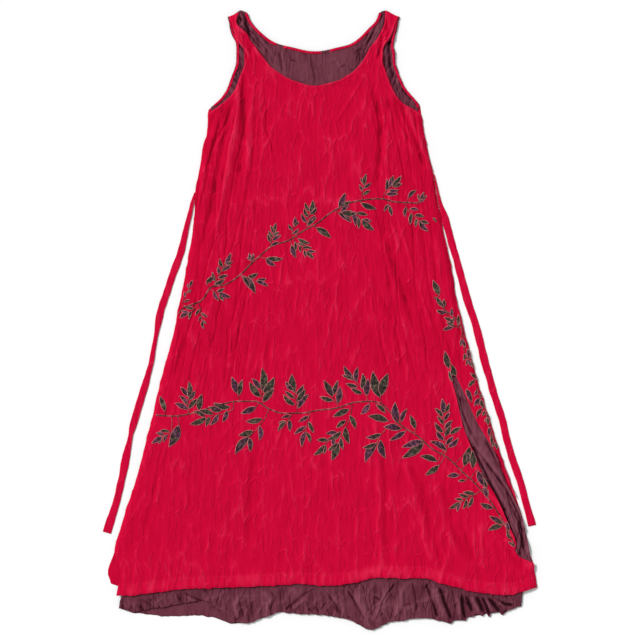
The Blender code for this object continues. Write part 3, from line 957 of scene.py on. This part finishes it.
slash_left = along(np.column_stack([SLASH_LEFT["x"], SLASH_LEFT["y"]]), 6)
slash_right = np.column_stack([SLASH_RIGHT["x"], SLASH_RIGHT["y"]])
slash_right = np.vstack([along(slash_right[:7], 6), slash_right[7:]])
SLASH = np.vstack([slash_left, slash_right])

# %% The outer front
CLOTH_EDGE = ((0.35, 0.35), (0.15, 0.9), (-1.2, 1.2))


def relief(z, level, reach):
    """A number from 0 in the deepest hollow to 1 on the highest ridge, for the painted shade and light
    in the colour.
    """
    return np.clip(0.5 + (z - level) / reach, 0, 1)


def cloth(name, xy, z, faces, paint, shade):
    """A panel's piece, with its turned edge, and its relief, which paints light and shade into its
    colour.
    """
    points, faces = turned(np.column_stack([xy, z]), faces, CLOTH_EDGE)
    return piece(name, points, faces, paint, {"relief": shade})


front_xy, front_faces = panel(
    "front", FRONT_NECK, side_edge, RED_HEM,
    rows=crowded([(0.86, 122), (1.0, 46)]), half_columns=208, strap_rows=42,
)
front_xy, front_faces = without(front_xy, front_faces, SLASH)
front_xy[:, 0] = np.minimum(front_xy[:, 0], side_edge("front_right", front_xy[:, 1]))
front_x, front_y = front_xy.T
front_z = front_height(front_x, front_y)
# Painted light and shade: lighter on the crinkle's ridges, darker in its hollows and in the folds,
# whose painted shade is stronger on the straps.
fold_shade_share = 0.65 + 0.9 * smooth((front_y - 530) / 30)  # folds show more on the straps
rough = crinkle(front_x, front_y, 20) + fold_shade_share * folded(front_x, front_y, FOLDS)
front_relief = relief(rough + side_folds(front_x, front_y), 0.9, 6.0)
# A painted highlight on the hem band and on the rolled rims beside the neck and the armholes.
hem_band_highlight = hem_band(front_y - hem_height(RED_HEM, front_x))
front_relief = np.clip(front_relief + 0.12 * hem_band_highlight + 0.3 * rim(front_x, front_y), 0, 1)
outer_front = cloth("outer_front_cloth", front_xy, front_z, front_faces, red_crepe, front_relief)

# %% [markdown]
# ## The lining's pieces
#
# The front lining's grid has close rows where it shows, in the slash and at the hem, and wide ones
# where it doesn't. The back lining's are close inside the neck.

# %% Lining pieces
lining_xy, lining_faces = panel(
    "front", FRONT_NECK, lining_edge, LINING_FRONT_HEM,
    rows=crowded([(0.09, 52), (0.52, 104), (1.0, 18)]), half_columns=220, strap_rows=12,
)
lining_x, lining_y = lining_xy.T
lining_z = lining_front_height(lining_x, lining_y)
# Painted light and shade from the lining's relief, lighter on its ridges and darker in its hollows.
level = LINING_FRONT_LEVEL + 0.7 + 0.55 * past_red_hem(lining_x, lining_y)
lining_relief = relief(lining_front_rough(lining_x, lining_y), level, 6.0)
lining_front = cloth(
    "lining_front_cloth", lining_xy, lining_z, lining_faces, plum_crepe, lining_relief
)

back_xy, back_faces = panel(
    "back", BACK_NECK, lining_edge, LINING_HEM,
    rows=crowded([(0.08, 20), (0.86, 40), (1.0, 60)]), half_columns=110, strap_rows=40,
)
back_x, back_y = back_xy.T
back_z = lining_back_height(back_x, back_y)
# Painted light and shade from the back lining's relief, leaving out its rise inside the neck.
rise = NECK_RISE * back_shows(back_x, back_y) - HIDDEN_DROP * past_red_hem(back_x, back_y)
back_relief = relief(lining_back_rough(back_x, back_y) - rise, LINING_BACK_LEVEL + 0.1, 5.2)
lining_back = cloth("lining_back_cloth", back_xy, back_z, back_faces, plum_crepe, back_relief)

# %% [markdown]
# ## The outer back
#
# The back lies under everything, and only its edges show: beside the straps, at the left corner of
# the hem, and as a thin red line beside the slash. It has the same crinkle, pressed flatter.

# %% Outer back
under_xy, under_faces = panel(
    "back", BACK_NECK, side_edge, BACK_HEM, rows=np.linspace(0, 1, 120), half_columns=110, strap_rows=36
)
under_x, under_y = under_xy.T
under_z = BACK_LEVEL + 0.28 * crinkle(under_x, under_y, 120)
# Painted light and shade from its crinkle.
under_relief = relief(under_z, BACK_LEVEL + 0.3, 2.6)
outer_back = cloth("outer_back_cloth", under_xy, under_z, under_faces, red_crepe, under_relief)

# %% [markdown]
# ## Ties and bindings
#
# A tie is a tube of cloth turned right side out and pressed flat. A binding is a folded strip sewn
# over the raw edge. Both are a flattened round section carried along a line.


# %% Flattened tubes
def square_to(line):
    """The direction square to a line at each of its points, to the right of its way."""
    run = np.gradient(line, axis=0)
    return np.column_stack([run[:, 1], -run[:, 0]]) / np.hypot(*run.T)[:, None]


def blunt(wave):
    """A sine or cosine with its sign kept and its size raised to 0.8, for a fuller section."""
    return np.sign(wave) * np.abs(wave) ** 0.8


def tube(line, width, height, level, sides=12, pinch=None):
    """A closed tube along a line on the floor: a blunt ellipse of the given width and height round
    each point, lifted to its level, with a flat cap at each end. pinch adds creases along it."""
    line = np.asarray(line, float)
    n = len(line)
    width, height, level = (np.broadcast_to(v, n)[:, None] for v in (width, height, level))
    side = square_to(line)
    angle = 2 * np.pi * np.arange(sides)[None, :] / sides
    out = 0.5 * width * blunt(np.cos(angle))
    up = level + 0.5 * height * (1 + blunt(np.sin(angle)))
    if pinch is not None:
        up = up + np.where(np.sin(angle) > 0, pinch(np.arange(n)[:, None], np.cos(angle)), 0)
    places = line[:, None] + side[:, None] * out[..., None]
    points = np.dstack([places, up + 0 * out]).reshape(-1, 3)
    index = np.arange(n * sides).reshape(n, sides)
    index = np.column_stack([index, index[:, 0]])
    faces = quads(index).tolist()
    return points, faces + [index[0, :-1][::-1].tolist(), index[-1, :-1].tolist()]


TIE_LEFT = table(
    "height middle width",
    (268, -262.6, 2.0), (243, -268.6, 7.5), (226, -272.2, 9), (209, -276.0, 10), (142, -292, 15),
    (75, -315, 15), (8, -336, 15), (-43, -346, 9), (-93, -355, 11), (-160, -374, 15),
    (-227, -393, 15), (-243, -397, 9), (-262, -401, 12), (-295, -408, 17), (-362, -422, 15),
    (-448, -447.7, 19),
)
TIE_RIGHT = table(
    "height middle width",
    (306, 240.1, 2.0), (293, 243.4, 3.0), (277, 247.2, 4.4), (260, 250.9, 5.6), (243, 254.6, 7.2),
    (226, 260.4, 12.6), (205, 266.0, 16), (125, 288.5, 15), (58, 306, 16), (-9, 328, 15),
    (-76, 345, 16), (-143, 363, 15), (-211, 384, 15), (-278, 401, 15), (-345, 424, 15),
    (-433, 447, 16),
)


def tie(name, rows, seed):
    """A tie lies in slow waves, thicker where it is narrow, with a crease and small bumps along it."""
    order = np.argsort(rows["height"])
    known = rows["height"][order]
    heights = np.arange(known[0], known[-1] + 3, 4.0).clip(max=known[-1])[::-1]
    middle = through(heights, known, rows["middle"][order]) + 1.6 * noise(heights / 40, 0.3, seed)
    width = through(heights, known, rows["width"][order])
    width = width * (1 + 0.16 * noise(heights / 17, 0.7, seed + 4))
    level = 0.15 + 0.5 * (1 + noise(heights / 70, 0.5, seed + 1))
    thick = np.clip(1.5 + 0.14 * (16 - width), 1.2, 3.0)

    def creases(k, c):
        from_crease = (c - 0.55 * np.sin(k / 23)) / 0.16
        return 0.45 * noise(k / 14, 2.1 * c + 5, seed + 2) - 0.3 * np.exp(-(from_crease**2))

    points, faces = tube(np.column_stack([middle, heights]), width, thick, level, 20, creases)
    shade = np.clip(0.52 + 0.18 * noise(points[:, 0] / 7, points[:, 1] / 45, seed + 3), 0, 1)
    return piece(name, points, faces, red_crepe, {"relief": shade})


tie_left = tie("tie_left_cloth", TIE_LEFT, 200)
tie_right = tie("tie_right_cloth", TIE_RIGHT, 210)

# %% Bindings
NECK_BINDING = {"low": 564.0, "high": 645.0}
ARM_BINDING = {"left": (450.0, 632.0), "right": (446.0, 632.0)}
BINDING_WIDTH = 5.0


def highest(height, x, y, reach_x, reach_y):
    """The highest that a surface is at each place and at four places round it."""
    around = ((0, 0), (reach_x, 0), (-reach_x, 0), (0, reach_y), (0, -reach_y))
    return np.max([height(x + dx, y + dy) for dx, dy in around], axis=0)


def binding(name, line, width, seed, gaps=(), slim=0.0):
    """A folded strip on the lining back. In each gap, (place across, reach), it dips under the
    lining. It narrows by the slim share near the shoulder."""
    line = along(line, 3.0)
    level = highest(lining_back_height, line[:, 0], line[:, 1], 2, 2)
    level = np.convolve(np.pad(level, 2, "edge"), np.ones(5) / 5, "valid") - 0.3
    for across, reach in gaps:
        level = level - 3.6 * smooth(1.6 - np.abs(line[:, 0] - across) / reach)
    width = width * (1 + 0.25 * noise(np.arange(len(line)) / 6, 0.4, seed))
    width = width * (1 - slim * smooth((line[:, 1] - 585) / 25))
    points, faces = tube(line, width, 1.5, level, 10)
    shade = np.clip(0.55 + 0.5 * noise(points[:, 0] / 5, points[:, 1] / 5, seed + 1), 0, 1)
    return piece(name, points, faces, red_crepe, {"relief": shade})


neck_line = neck_curve(BACK_NECK, NECK_BINDING["low"] + (
    NECK_BINDING["high"] - NECK_BINDING["low"]) * np.linspace(1, 0, 20)[::-1] ** 2)
neck_line = neck_line + square_to(neck_line) * (BINDING_WIDTH / 2 + 0.4)
neck_binding = binding(
    "neck_binding_strip", neck_line, BINDING_WIDTH, 230, gaps=((-83, 6), (13, 8)),
)


def arm_binding(hand, seed):
    """The strip along one back armhole."""
    line = edge_line(f"back_{hand}", np.linspace(*ARM_BINDING[hand], 14))
    line[:, 0] += (1 if hand == "left" else -1) * (BINDING_WIDTH / 2 + 0.8)
    return binding(f"armhole_binding_{hand}_strip", line, BINDING_WIDTH, seed, slim=0.45)


arm_binding_left = arm_binding("left", 240)
arm_binding_right = arm_binding("right", 250)

# %% [markdown]
# ## Leafy branches
#
# Leafy branches cross the front: leaves of a dark green-brown cloth and of a purple one, each with a
# thin pale outline, on thin stems. They are laid out by rule. Each row of a table is one spray, from
# where it leaves the stem to its tip, with how many leaves it has and how long they are. One leaf is
# at the tip, and the others stand by turns to either side.

# %% Stems and sprays
STEMS = (
    ((-303, 2), (-285, 25), (-247, 41), (-226, 69), (-201, 73), (-167, 94), (-144, 117), (-114, 144),
     (-100, 155), (-64, 167), (-35, 186), (-7, 201), (20, 222), (45, 237), (77, 249), (125, 254),
     (163, 247), (209, 245)),
    ((-352, -200), (-303, -202), (-266, -196), (-213, -179), (-169, -171), (-135, -171), (-106, -187),
     (-75, -196), (-41, -196), (-3, -190), (37, -185), (75, -173), (108, -171), (127, -175),
     (152, -198), (169, -219), (209, -246), (234, -269), (272, -292), (297, -316), (324, -341),
     (350, -370), (379, -412), (408, -470)),
    ((240, 48), (264, 20), (278, 8), (293, -5), (301, -28)),
)
SPRAYS = table(
    "x y tip_x tip_y leaves length",
    (-287, 33, -266, 83, 4, 13), (-259, 25, -293, 4, 3, 19), (-251, 27, -243, -19, 4, 15),
    (-238, 77, -219, 92, 1, 23), (-224, 69, -186, 140, 7, 23), (-226, 62, -186, 48, 3, 23),
    (-165, 94, -108, 71, 4, 23), (-163, 92, -135, 56, 1, 42), (-144, 121, -148, 140, 3, 13),
    (-104, 153, -91, 203, 6, 21), (-121, 130, -77, 128, 2, 29), (-58, 176, -51, 216, 3, 17),
    (-54, 167, -12, 128, 6, 19), (-58, 157, -49, 130, 1, 27), (-45, 170, -20, 161, 1, 27),
    (-28, 193, -14, 251, 6, 23), (-7, 193, 24, 172, 1, 36), (41, 235, 54, 266, 2, 29),
    (35, 226, 79, 224, 3, 29), (89, 258, 98, 306, 4, 21), (64, 233, 114, 188, 4, 29),
    (87, 245, 119, 233, 1, 34), (135, 262, 171, 302, 6, 23), (144, 249, 152, 218, 2, 19),
    (186, 256, 203, 272, 1, 23), (207, 245, 219, 268, 3, 15), (180, 241, 228, 186, 6, 25),
    (238, 214, 245, 205, 1, 10), (-324, -192, -335, -160, 1, 32), (-276, -192, -274, -129, 4, 29),
    (-276, -187, -303, -175, 1, 29), (-253, -190, -247, -156, 1, 32), (-180, -183, -272, -219, 7, 32),
    (-310, -234, -352, -259, 4, 23), (-295, -221, -316, -267, 1, 50), (-167, -171, -184, -120, 2, 32),
    (-121, -179, -121, -101, 4, 42), (-133, -183, -165, -196, 1, 34), (-112, -202, -177, -282, 4, 40),
    (-47, -192, -58, -114, 6, 34), (-56, -198, -87, -234, 3, 23), (39, -183, 9, -127, 3, 34),
    (100, -166, 51, -97, 6, 32), (129, -171, 112, -108, 2, 50), (-20, -196, -37, -267, 4, 29),
    (68, -181, 26, -295, 7, 34), (43, -232, -12, -284, 4, 27), (104, -177, 87, -198, 1, 23),
    (119, -179, 138, -196, 1, 25), (144, -213, 102, -202, 1, 42), (135, -234, 96, -299, 3, 42),
    (165, -217, 159, -173, 1, 36), (171, -215, 184, -187, 1, 29), (201, -229, 190, -200, 1, 32),
    (171, -229, 135, -225, 1, 34), (180, -234, 148, -253, 1, 34), (219, -255, 173, -267, 1, 36),
    (219, -259, 173, -290, 1, 25), (264, -267, 257, -166, 9, 27), (274, -240, 297, -225, 1, 27),
    (270, -267, 291, -248, 1, 29), (266, -274, 232, -255, 1, 40), (303, -307, 316, -265, 1, 44),
    (247, -297, 211, -286, 1, 36), (251, -305, 222, -326, 1, 34), (293, -326, 268, -328, 1, 27),
    (306, -337, 291, -339, 1, 17), (331, -364, 272, -397, 6, 25), (364, -395, 337, -385, 1, 32),
    (385, -429, 356, -412, 1, 34), (383, -433, 354, -442, 1, 32), (350, -353, 339, -320, 1, 27),
    (352, -374, 343, -351, 1, 19), (398, -460, 392, -442, 1, 17), (411, -475, 396, -465, 1, 15),
    (293, -17, 245, 48, 5, 23), (251, 52, 238, 83, 1, 36), (289, -13, 259, -22, 2, 19),
    (316, -61, 312, -80, 1, 17), (318, -85, 322, -101, 1, 19), (327, -127, 312, -141, 1, 17),
    (308, -145, 320, -173, 1, 27), (337, -164, 324, -181, 1, 21), (356, -225, 354, -244, 1, 17),
    (360, -246, 362, -265, 1, 17), (271, -102, 263, -66, 1, 25), (284, -122, 275, -92, 1, 21),
    (322, -72, 308, -62, 1, 17), (304, -66, 318, -98, 3, 14), (334, -126, 316, -112, 1, 19),
    (330, -142, 346, -186, 3, 17), (348, -186, 354, -222, 3, 14), (362, -236, 372, -272, 3, 12),
    (342, -186, 330, -206, 1, 17), (310, -278, 318, -302, 1, 20), (340, -330, 352, -352, 1, 20),
    (392, -424, 398, -444, 1, 17), (296, -40, 306, -58, 2, 17), (282, 4, 268, -18, 1, 22),
    (279, -130, 271, -108, 1, 20), (322, -274, 320, -312, 1, 36), (332, -316, 346, -350, 1, 36),
    (346, -352, 352, -372, 1, 20), (300, -190, 290, -160, 1, 30),
)
SPREAD = np.radians(38)  # how far a side leaf turns from its twig


def leaves_of(sprays, rng):
    """Base, tip and width of each leaf. In a spray of one, the leaf is the row itself. Otherwise one
    is at the tip, and the rest stand along the twig, turned to the left and to the right of it."""
    found = []
    for x, y, tip_x, tip_y, count, length in zip(*sprays.values()):
        length, count = length * 1.15, count + (count > 2)
        base, tip = np.array([x, y]), np.array([tip_x, tip_y])
        run = (tip - base) / np.hypot(*(tip - base))
        size = length if count > 1 else np.hypot(*(tip - base))
        end = tip - run * size
        found.append((*end, *tip, size * rng.uniform(0.28, 0.38)))
        rest = int(count) - 1
        for k in range(rest):
            share = (k + 0.4) / rest
            at = base + (end + run * 0.15 * size - base) * share
            turn = SPREAD * (1 if k % 2 else -1) * rng.uniform(0.8, 1.25)
            own = size * rng.uniform(0.68, 1.02) * (1 - 0.2 * share)
            cos, sin = np.cos(turn), np.sin(turn)
            heading = np.array([run[0] * cos - run[1] * sin, run[0] * sin + run[1] * cos])
            start = at + heading * 0.12 * own
            found.append((*start, *(start + heading * own), own * rng.uniform(0.28, 0.38)))
    return np.array(found)


rng = np.random.default_rng(5)
LEAVES = leaves_of(SPRAYS, rng)
print("leaves:", len(LEAVES))

# %% [markdown]
# ## One leaf, many times
#
# A leaf is a small patch that is pointed at both ends and bends a little. All the leaves are worked
# out at once, in one array with a row for each leaf, and become one mesh. Each lies on the highest
# cloth near it, so that no crinkle comes through.


# %% Leaf patches
def resting(x, y):
    """The highest cloth within about two millimetres of each place."""
    return highest(front_height, x, y, 1.6, 2.2)


def front_span(y, margin):
    """How far across the front reaches at each height, less a margin on both sides."""
    return side_edge("front_left", y) + margin, side_edge("front_right", y) - margin


LEAF_LONG, LEAF_WIDE = 9, 5
u = np.linspace(0, 1, LEAF_LONG)
v = np.linspace(-1, 1, LEAF_WIDE)
base, tip, leaf_width = LEAVES[:, :2], LEAVES[:, 2:4], LEAVES[:, 4]
run = tip - base
leaf_length = np.hypot(*run.T)
run = run / leaf_length[:, None]
side = np.column_stack([-run[:, 1], run[:, 0]])
bend = rng.uniform(-0.1, 0.1, len(LEAVES)) * leaf_length
profile = np.sin(np.pi * u**0.92) ** 0.95 * (1.12 - 0.24 * u)
half_width = 0.5 * leaf_width[:, None] * profile + 0.25
across = bend[:, None] * 4 * (u * (1 - u)) + 0 * half_width


def leaf_place(off, far):
    """The place at this distance to the side of each leaf's middle line, and this far along it."""
    return base[:, None] + run[:, None] * far[..., None] + side[:, None] * off[..., None]


grid = np.stack([leaf_place(across + half_width * k, leaf_length[:, None] * u) for k in v], 2)
leaf_x, leaf_y = grid[..., 0], grid[..., 1]
leaf_reach = np.ptp(leaf_x, axis=(1, 2))
leaf_x = np.clip(leaf_x, *front_span(leaf_y, 1.2))
in_slash = inside(leaf_x, leaf_y, SLASH)
leaf_x[in_slash], leaf_y[in_slash] = onto(leaf_x[in_slash], leaf_y[in_slash], SLASH).T
kept = (in_slash.mean(axis=(1, 2)) < 0.45) & (np.ptp(leaf_x, axis=(1, 2)) > 0.6 * leaf_reach)
grid = np.stack([leaf_x, leaf_y], -1)
stacking = 0.14 * (np.arange(len(leaf_x)) % 5)[:, None, None]  # so that leaves that cross stay apart
leaf_z = resting(leaf_x, leaf_y) + 0.5 + 0.3 * (1 - v**2) + stacking
print("leaves that are on the cloth:", int(kept.sum()), "of", len(kept))


def grid_faces(count, rows, columns):
    """The faces of many like grids, one after another."""
    one = quads(np.arange(rows * columns).reshape(rows, columns))
    return (one[None] + (np.arange(count) * rows * columns)[:, None, None]).reshape(-1, 4)


leaf_points = np.stack([leaf_x, leaf_y, leaf_z], -1)[kept]
tint = np.repeat(rng.uniform(0, 1, len(LEAVES))[kept], LEAF_LONG * LEAF_WIDE)
middle_share = np.tile(np.repeat(np.sin(np.pi * u), LEAF_WIDE), kept.sum())
leaf_faces = grid_faces(kept.sum(), LEAF_LONG, LEAF_WIDE)[:, ::-1]

# %% Leaf cloth and cord materials
DARK_END = (0.010, 0.006, 0.006)
OLIVE, PALE_OLIVE = (0.047, 0.036, 0.023), (0.150, 0.120, 0.078)
PURPLE, PALE_PURPLE = (0.075, 0.017, 0.045), (0.240, 0.085, 0.150)


def leaf_cloth_material():
    """Mottled olive or purple by the leaf's tint, paler in patches in its middle, dark at the ends."""
    add, paint, place = new_material("leaf_cloth")
    cloud = add("TexNoise", Vector=place, Scale=170.0, Detail=5.0)
    tinted = add("TexNoise", Vector=place, Scale=90.0, Detail=2.0)
    which = add("Attribute", {"attribute_name": "tint"}).outputs["Fac"]
    inner = add("Attribute", {"attribute_name": "inner"}).outputs["Fac"]
    kind = add("Math", {"operation": "MULTIPLY_ADD"}, i0=tinted, i1=0.9, i2=which)
    kind = add("MapRange", Value=kind, From_Min=1.02, From_Max=1.16)
    depth = add("MapRange", Value=cloud, From_Min=0.34, From_Max=0.72)
    inner = add("MapRange", Value=inner, To_Min=0.35, To_Max=1.0)
    depth = add("Math", {"operation": "MULTIPLY"}, i0=depth, i1=inner)
    olive = ramp_of(add, depth, ((0.08, DARK_END), (1.0, PALE_OLIVE), (0.5, OLIVE)))
    purple = ramp_of(add, depth, ((0.08, DARK_END), (1.0, PALE_PURPLE), (0.5, PURPLE)))
    mix = add("Mix", {"data_type": "RGBA"}, Factor=kind, A=olive, B=purple).outputs["Result"]
    grain = add("TexNoise", Vector=place, Scale=900.0)
    bump = add("Bump", Height=grain, Strength=0.5, Distance=0.0007)
    return paint(Base_Color=mix, Normal=bump, Roughness=0.7, Specular_IOR_Level=0.2)


def thread(name, first, second, scale):
    """A sewing thread or cord whose colour wanders between two along it."""
    add, paint, place = new_material(name)
    wander = add("TexNoise", Vector=place, Scale=scale)
    return paint(Base_Color=ramp_of(add, wander, ((0.38, first), (0.62, second))), Roughness=0.7,
                 Specular_IOR_Level=0.15)


def stem_cord_material():
    """A dark cord with a pale thread along both edges, by the pale attribute and a wandering cloud."""
    add, paint, place = new_material("stem_cord")
    cloud = add("TexNoise", Vector=place, Scale=110.0)
    pale = add("Attribute", {"attribute_name": "pale"}).outputs["Fac"]
    both = add("Math", {"operation": "MULTIPLY_ADD"}, i0=cloud, i1=1.0, i2=pale)
    colour = ramp_of(add, both, ((0.62, (0.030, 0.007, 0.009)), (1.0, (0.58, 0.17, 0.17))))
    return paint(Base_Color=colour, Roughness=0.7, Specular_IOR_Level=0.15)


leaf_paint = leaf_cloth_material()
stem_cord = stem_cord_material()
outline_thread = thread("outline_thread", (0.70, 0.29, 0.30), (0.48, 0.13, 0.14), 140.0)
stem_thread = thread("stem_thread", (0.07, 0.02, 0.02), (0.34, 0.10, 0.10), 130.0)
red_thread = thread("red_thread", (0.60, 0.008, 0.045), (0.70, 0.022, 0.075), 300.0)

# %% Leaves, outlines and stems
leaves = piece(
    "leaf_appliques", leaf_points.reshape(-1, 3), leaf_faces, leaf_paint,
    {"tint": tint, "inner": middle_share},
)

OUTLINE = 0.42  # half the outline cord's width
rim_left = grid[kept][:, :, 0]
rim_right = grid[kept][:, ::-1, -1]
loops = np.concatenate([rim_left, rim_right], axis=1)
loop_z = leaf_points[:, :, 0, 2], leaf_points[:, ::-1, -1, 2]
loops = np.concatenate([loops, np.concatenate(loop_z, axis=1)[..., None]], axis=2)


def ring_cords(loops, radius, sides):
    """A round cord along each closed loop: a small circle, square to the loop, at each point."""
    run = np.roll(loops, -1, axis=1) - np.roll(loops, 1, axis=1)
    out = np.stack([run[..., 1], -run[..., 0]], -1)
    out = out / np.maximum(np.linalg.norm(out, axis=-1), 1e-6)[..., None]
    angle = 2 * np.pi * np.arange(sides) / sides + 0.4
    up = np.broadcast_to(np.sin(angle)[:, None], (*out.shape[:2], sides, 1))
    circle = np.concatenate([out[:, :, None] * np.cos(angle)[:, None], up], -1)
    points = loops[:, :, None] + radius * circle
    count, long = loops.shape[:2]
    index = np.arange(long * sides).reshape(long, sides)
    index = np.vstack([index, index[:1]])
    index = np.column_stack([index, index[:, 0]])
    faces = quads(index)[None] + (np.arange(count) * long * sides)[:, None, None]
    return points.reshape(-1, 3), faces.reshape(-1, 4)


outline_points, outline_faces = ring_cords(loops, OUTLINE, 4)
outlines = piece("leaf_outlines", outline_points, outline_faces, outline_thread)


def cords(lines, width, height, sides):
    """One mesh of flattened cords along lines on the front."""
    points, faces, first = [], [], 0
    for line in lines:
        line = along(line, 4.0)
        left, right = front_span(line[:, 1], 2)
        on_cloth = (line[:, 0] > left) & (line[:, 0] < right)
        line = line[on_cloth & ~inside(line[:, 0], line[:, 1], SLASH)]
        if len(line) < 3:
            continue
        level = resting(line[:, 0], line[:, 1]) - 0.1
        new_points, new_faces = tube(line, width, height, level, sides)
        points.append(new_points)
        faces += [[k + first for k in face] for face in new_faces]
        first += len(new_points)
    return np.vstack(points), faces


def twigs_of(sprays, stems):
    """A twig for each spray: from the nearest place on a stem, through its base, to its last leaf."""
    stem_points = np.vstack([along(stem, 3.0) for stem in stems])
    found = []
    for x, y, tip_x, tip_y, count, length in zip(*sprays.values()):
        base, tip = np.array([x, y]), np.array([tip_x, tip_y])
        distance = np.hypot(*(stem_points - base).T)
        start = stem_points[distance.argmin()]
        size = length if count > 1 else np.hypot(*(tip - base))
        end = tip - (tip - base) / np.hypot(*(tip - base)) * size * 0.8
        line = [base, end] if count > 1 else [base + (base - end) * 0.1, end]
        if 3 < distance.min() < 40:
            line = [start, *line]
        found.append(np.array(line))
    return found


STEM_SIDES = 8
stem_points, stem_faces = cords([np.array(s) for s in STEMS], 2.9, 1.0, STEM_SIDES)
around_stem = 2 * np.pi * np.arange(STEM_SIDES) / STEM_SIDES
pale_edge = np.tile(0.45 * np.abs(np.cos(around_stem)), len(stem_points) // STEM_SIDES)
stems = piece("branch_stems", stem_points, stem_faces, stem_cord, {"pale": pale_edge})
twig_points, twig_faces = cords(twigs_of(SPRAYS, STEMS), 1.4, 0.9, 5)
twigs = piece("leaf_twigs", twig_points, twig_faces, stem_thread)

# %% [markdown]
# ## Stitches
#
# A row of stitches holds the red hem. Each is a short thread that dips into the cloth at both ends,
# all in one mesh.

# %% Hem stitches
STITCH, STITCH_STEP, STITCH_HALF, STITCH_SIDES = 3.0, 5.2, 0.4, 5
places = np.arange(
    side_edge("front_left", -555.0) + 9, side_edge("front_right", -545.0) - 12, STITCH_STEP
)
share = np.linspace(0, 1, STITCH_SIDES)
stitch_x = places[:, None] + STITCH * share + 0.5 * noise(places / 7, 0.5, 301)[:, None]
stitch_y = hem_height(RED_HEM, stitch_x) + HEM_BAND + 0.5 * noise(places / 9, 0.5, 300)[:, None]
stitch_z = front_height(stitch_x, stitch_y) + 0.55 * np.sin(np.pi * share) - 0.1
angle = 2 * np.pi * np.arange(STITCH_SIDES) / STITCH_SIDES
stitch = np.stack([
    stitch_x[..., None] + 0 * angle, stitch_y[..., None] + STITCH_HALF * np.cos(angle),
    stitch_z[..., None] + STITCH_HALF * np.sin(angle),
], -1)
one = np.arange(STITCH_SIDES**2).reshape(STITCH_SIDES, STITCH_SIDES)
one = np.column_stack([one, one[:, 0]])
one_stitch = [*quads(one)[:, ::-1], one[0, :-1], one[-1, :-1][::-1]]
stitch_faces = [face + k * STITCH_SIDES**2 for k in range(len(places)) for face in one_stitch]
stitches = piece("hem_stitches", stitch.reshape(-1, 3), stitch_faces, red_thread)

# %% [markdown]
# ## What each piece stands for
#
# Every piece rides on the imported model's one body, and each cloth takes the place of its CAD solid,
# which is hidden.

# %% Riding on the body
STANDS_FOR = (
    (outer_front, "outer_front", "outer_cloth"),
    (outer_back, "outer_back", "outer_cloth"),
    (lining_front, "lining_front", "lining_cloth"),
    (lining_back, "lining_back", "lining_cloth"),
    (neck_binding, "neck_binding", "outer_cloth"),
    (arm_binding_left, "armhole_binding_left", "outer_cloth"),
    (arm_binding_right, "armhole_binding_right", "outer_cloth"),
    (tie_left, "tie_left", "outer_cloth"),
    (tie_right, "tie_right", "outer_cloth"),
)
for made, node, slot in STANDS_FOR:
    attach(made, "root")
    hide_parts(node)
for made, slot in ((leaves, "leaf_cloth"), (outlines, "leaf_cord"), (stems, "leaf_cord"),
                   (twigs, "leaf_cord"), (stitches, "stitching")):
    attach(made, "root")
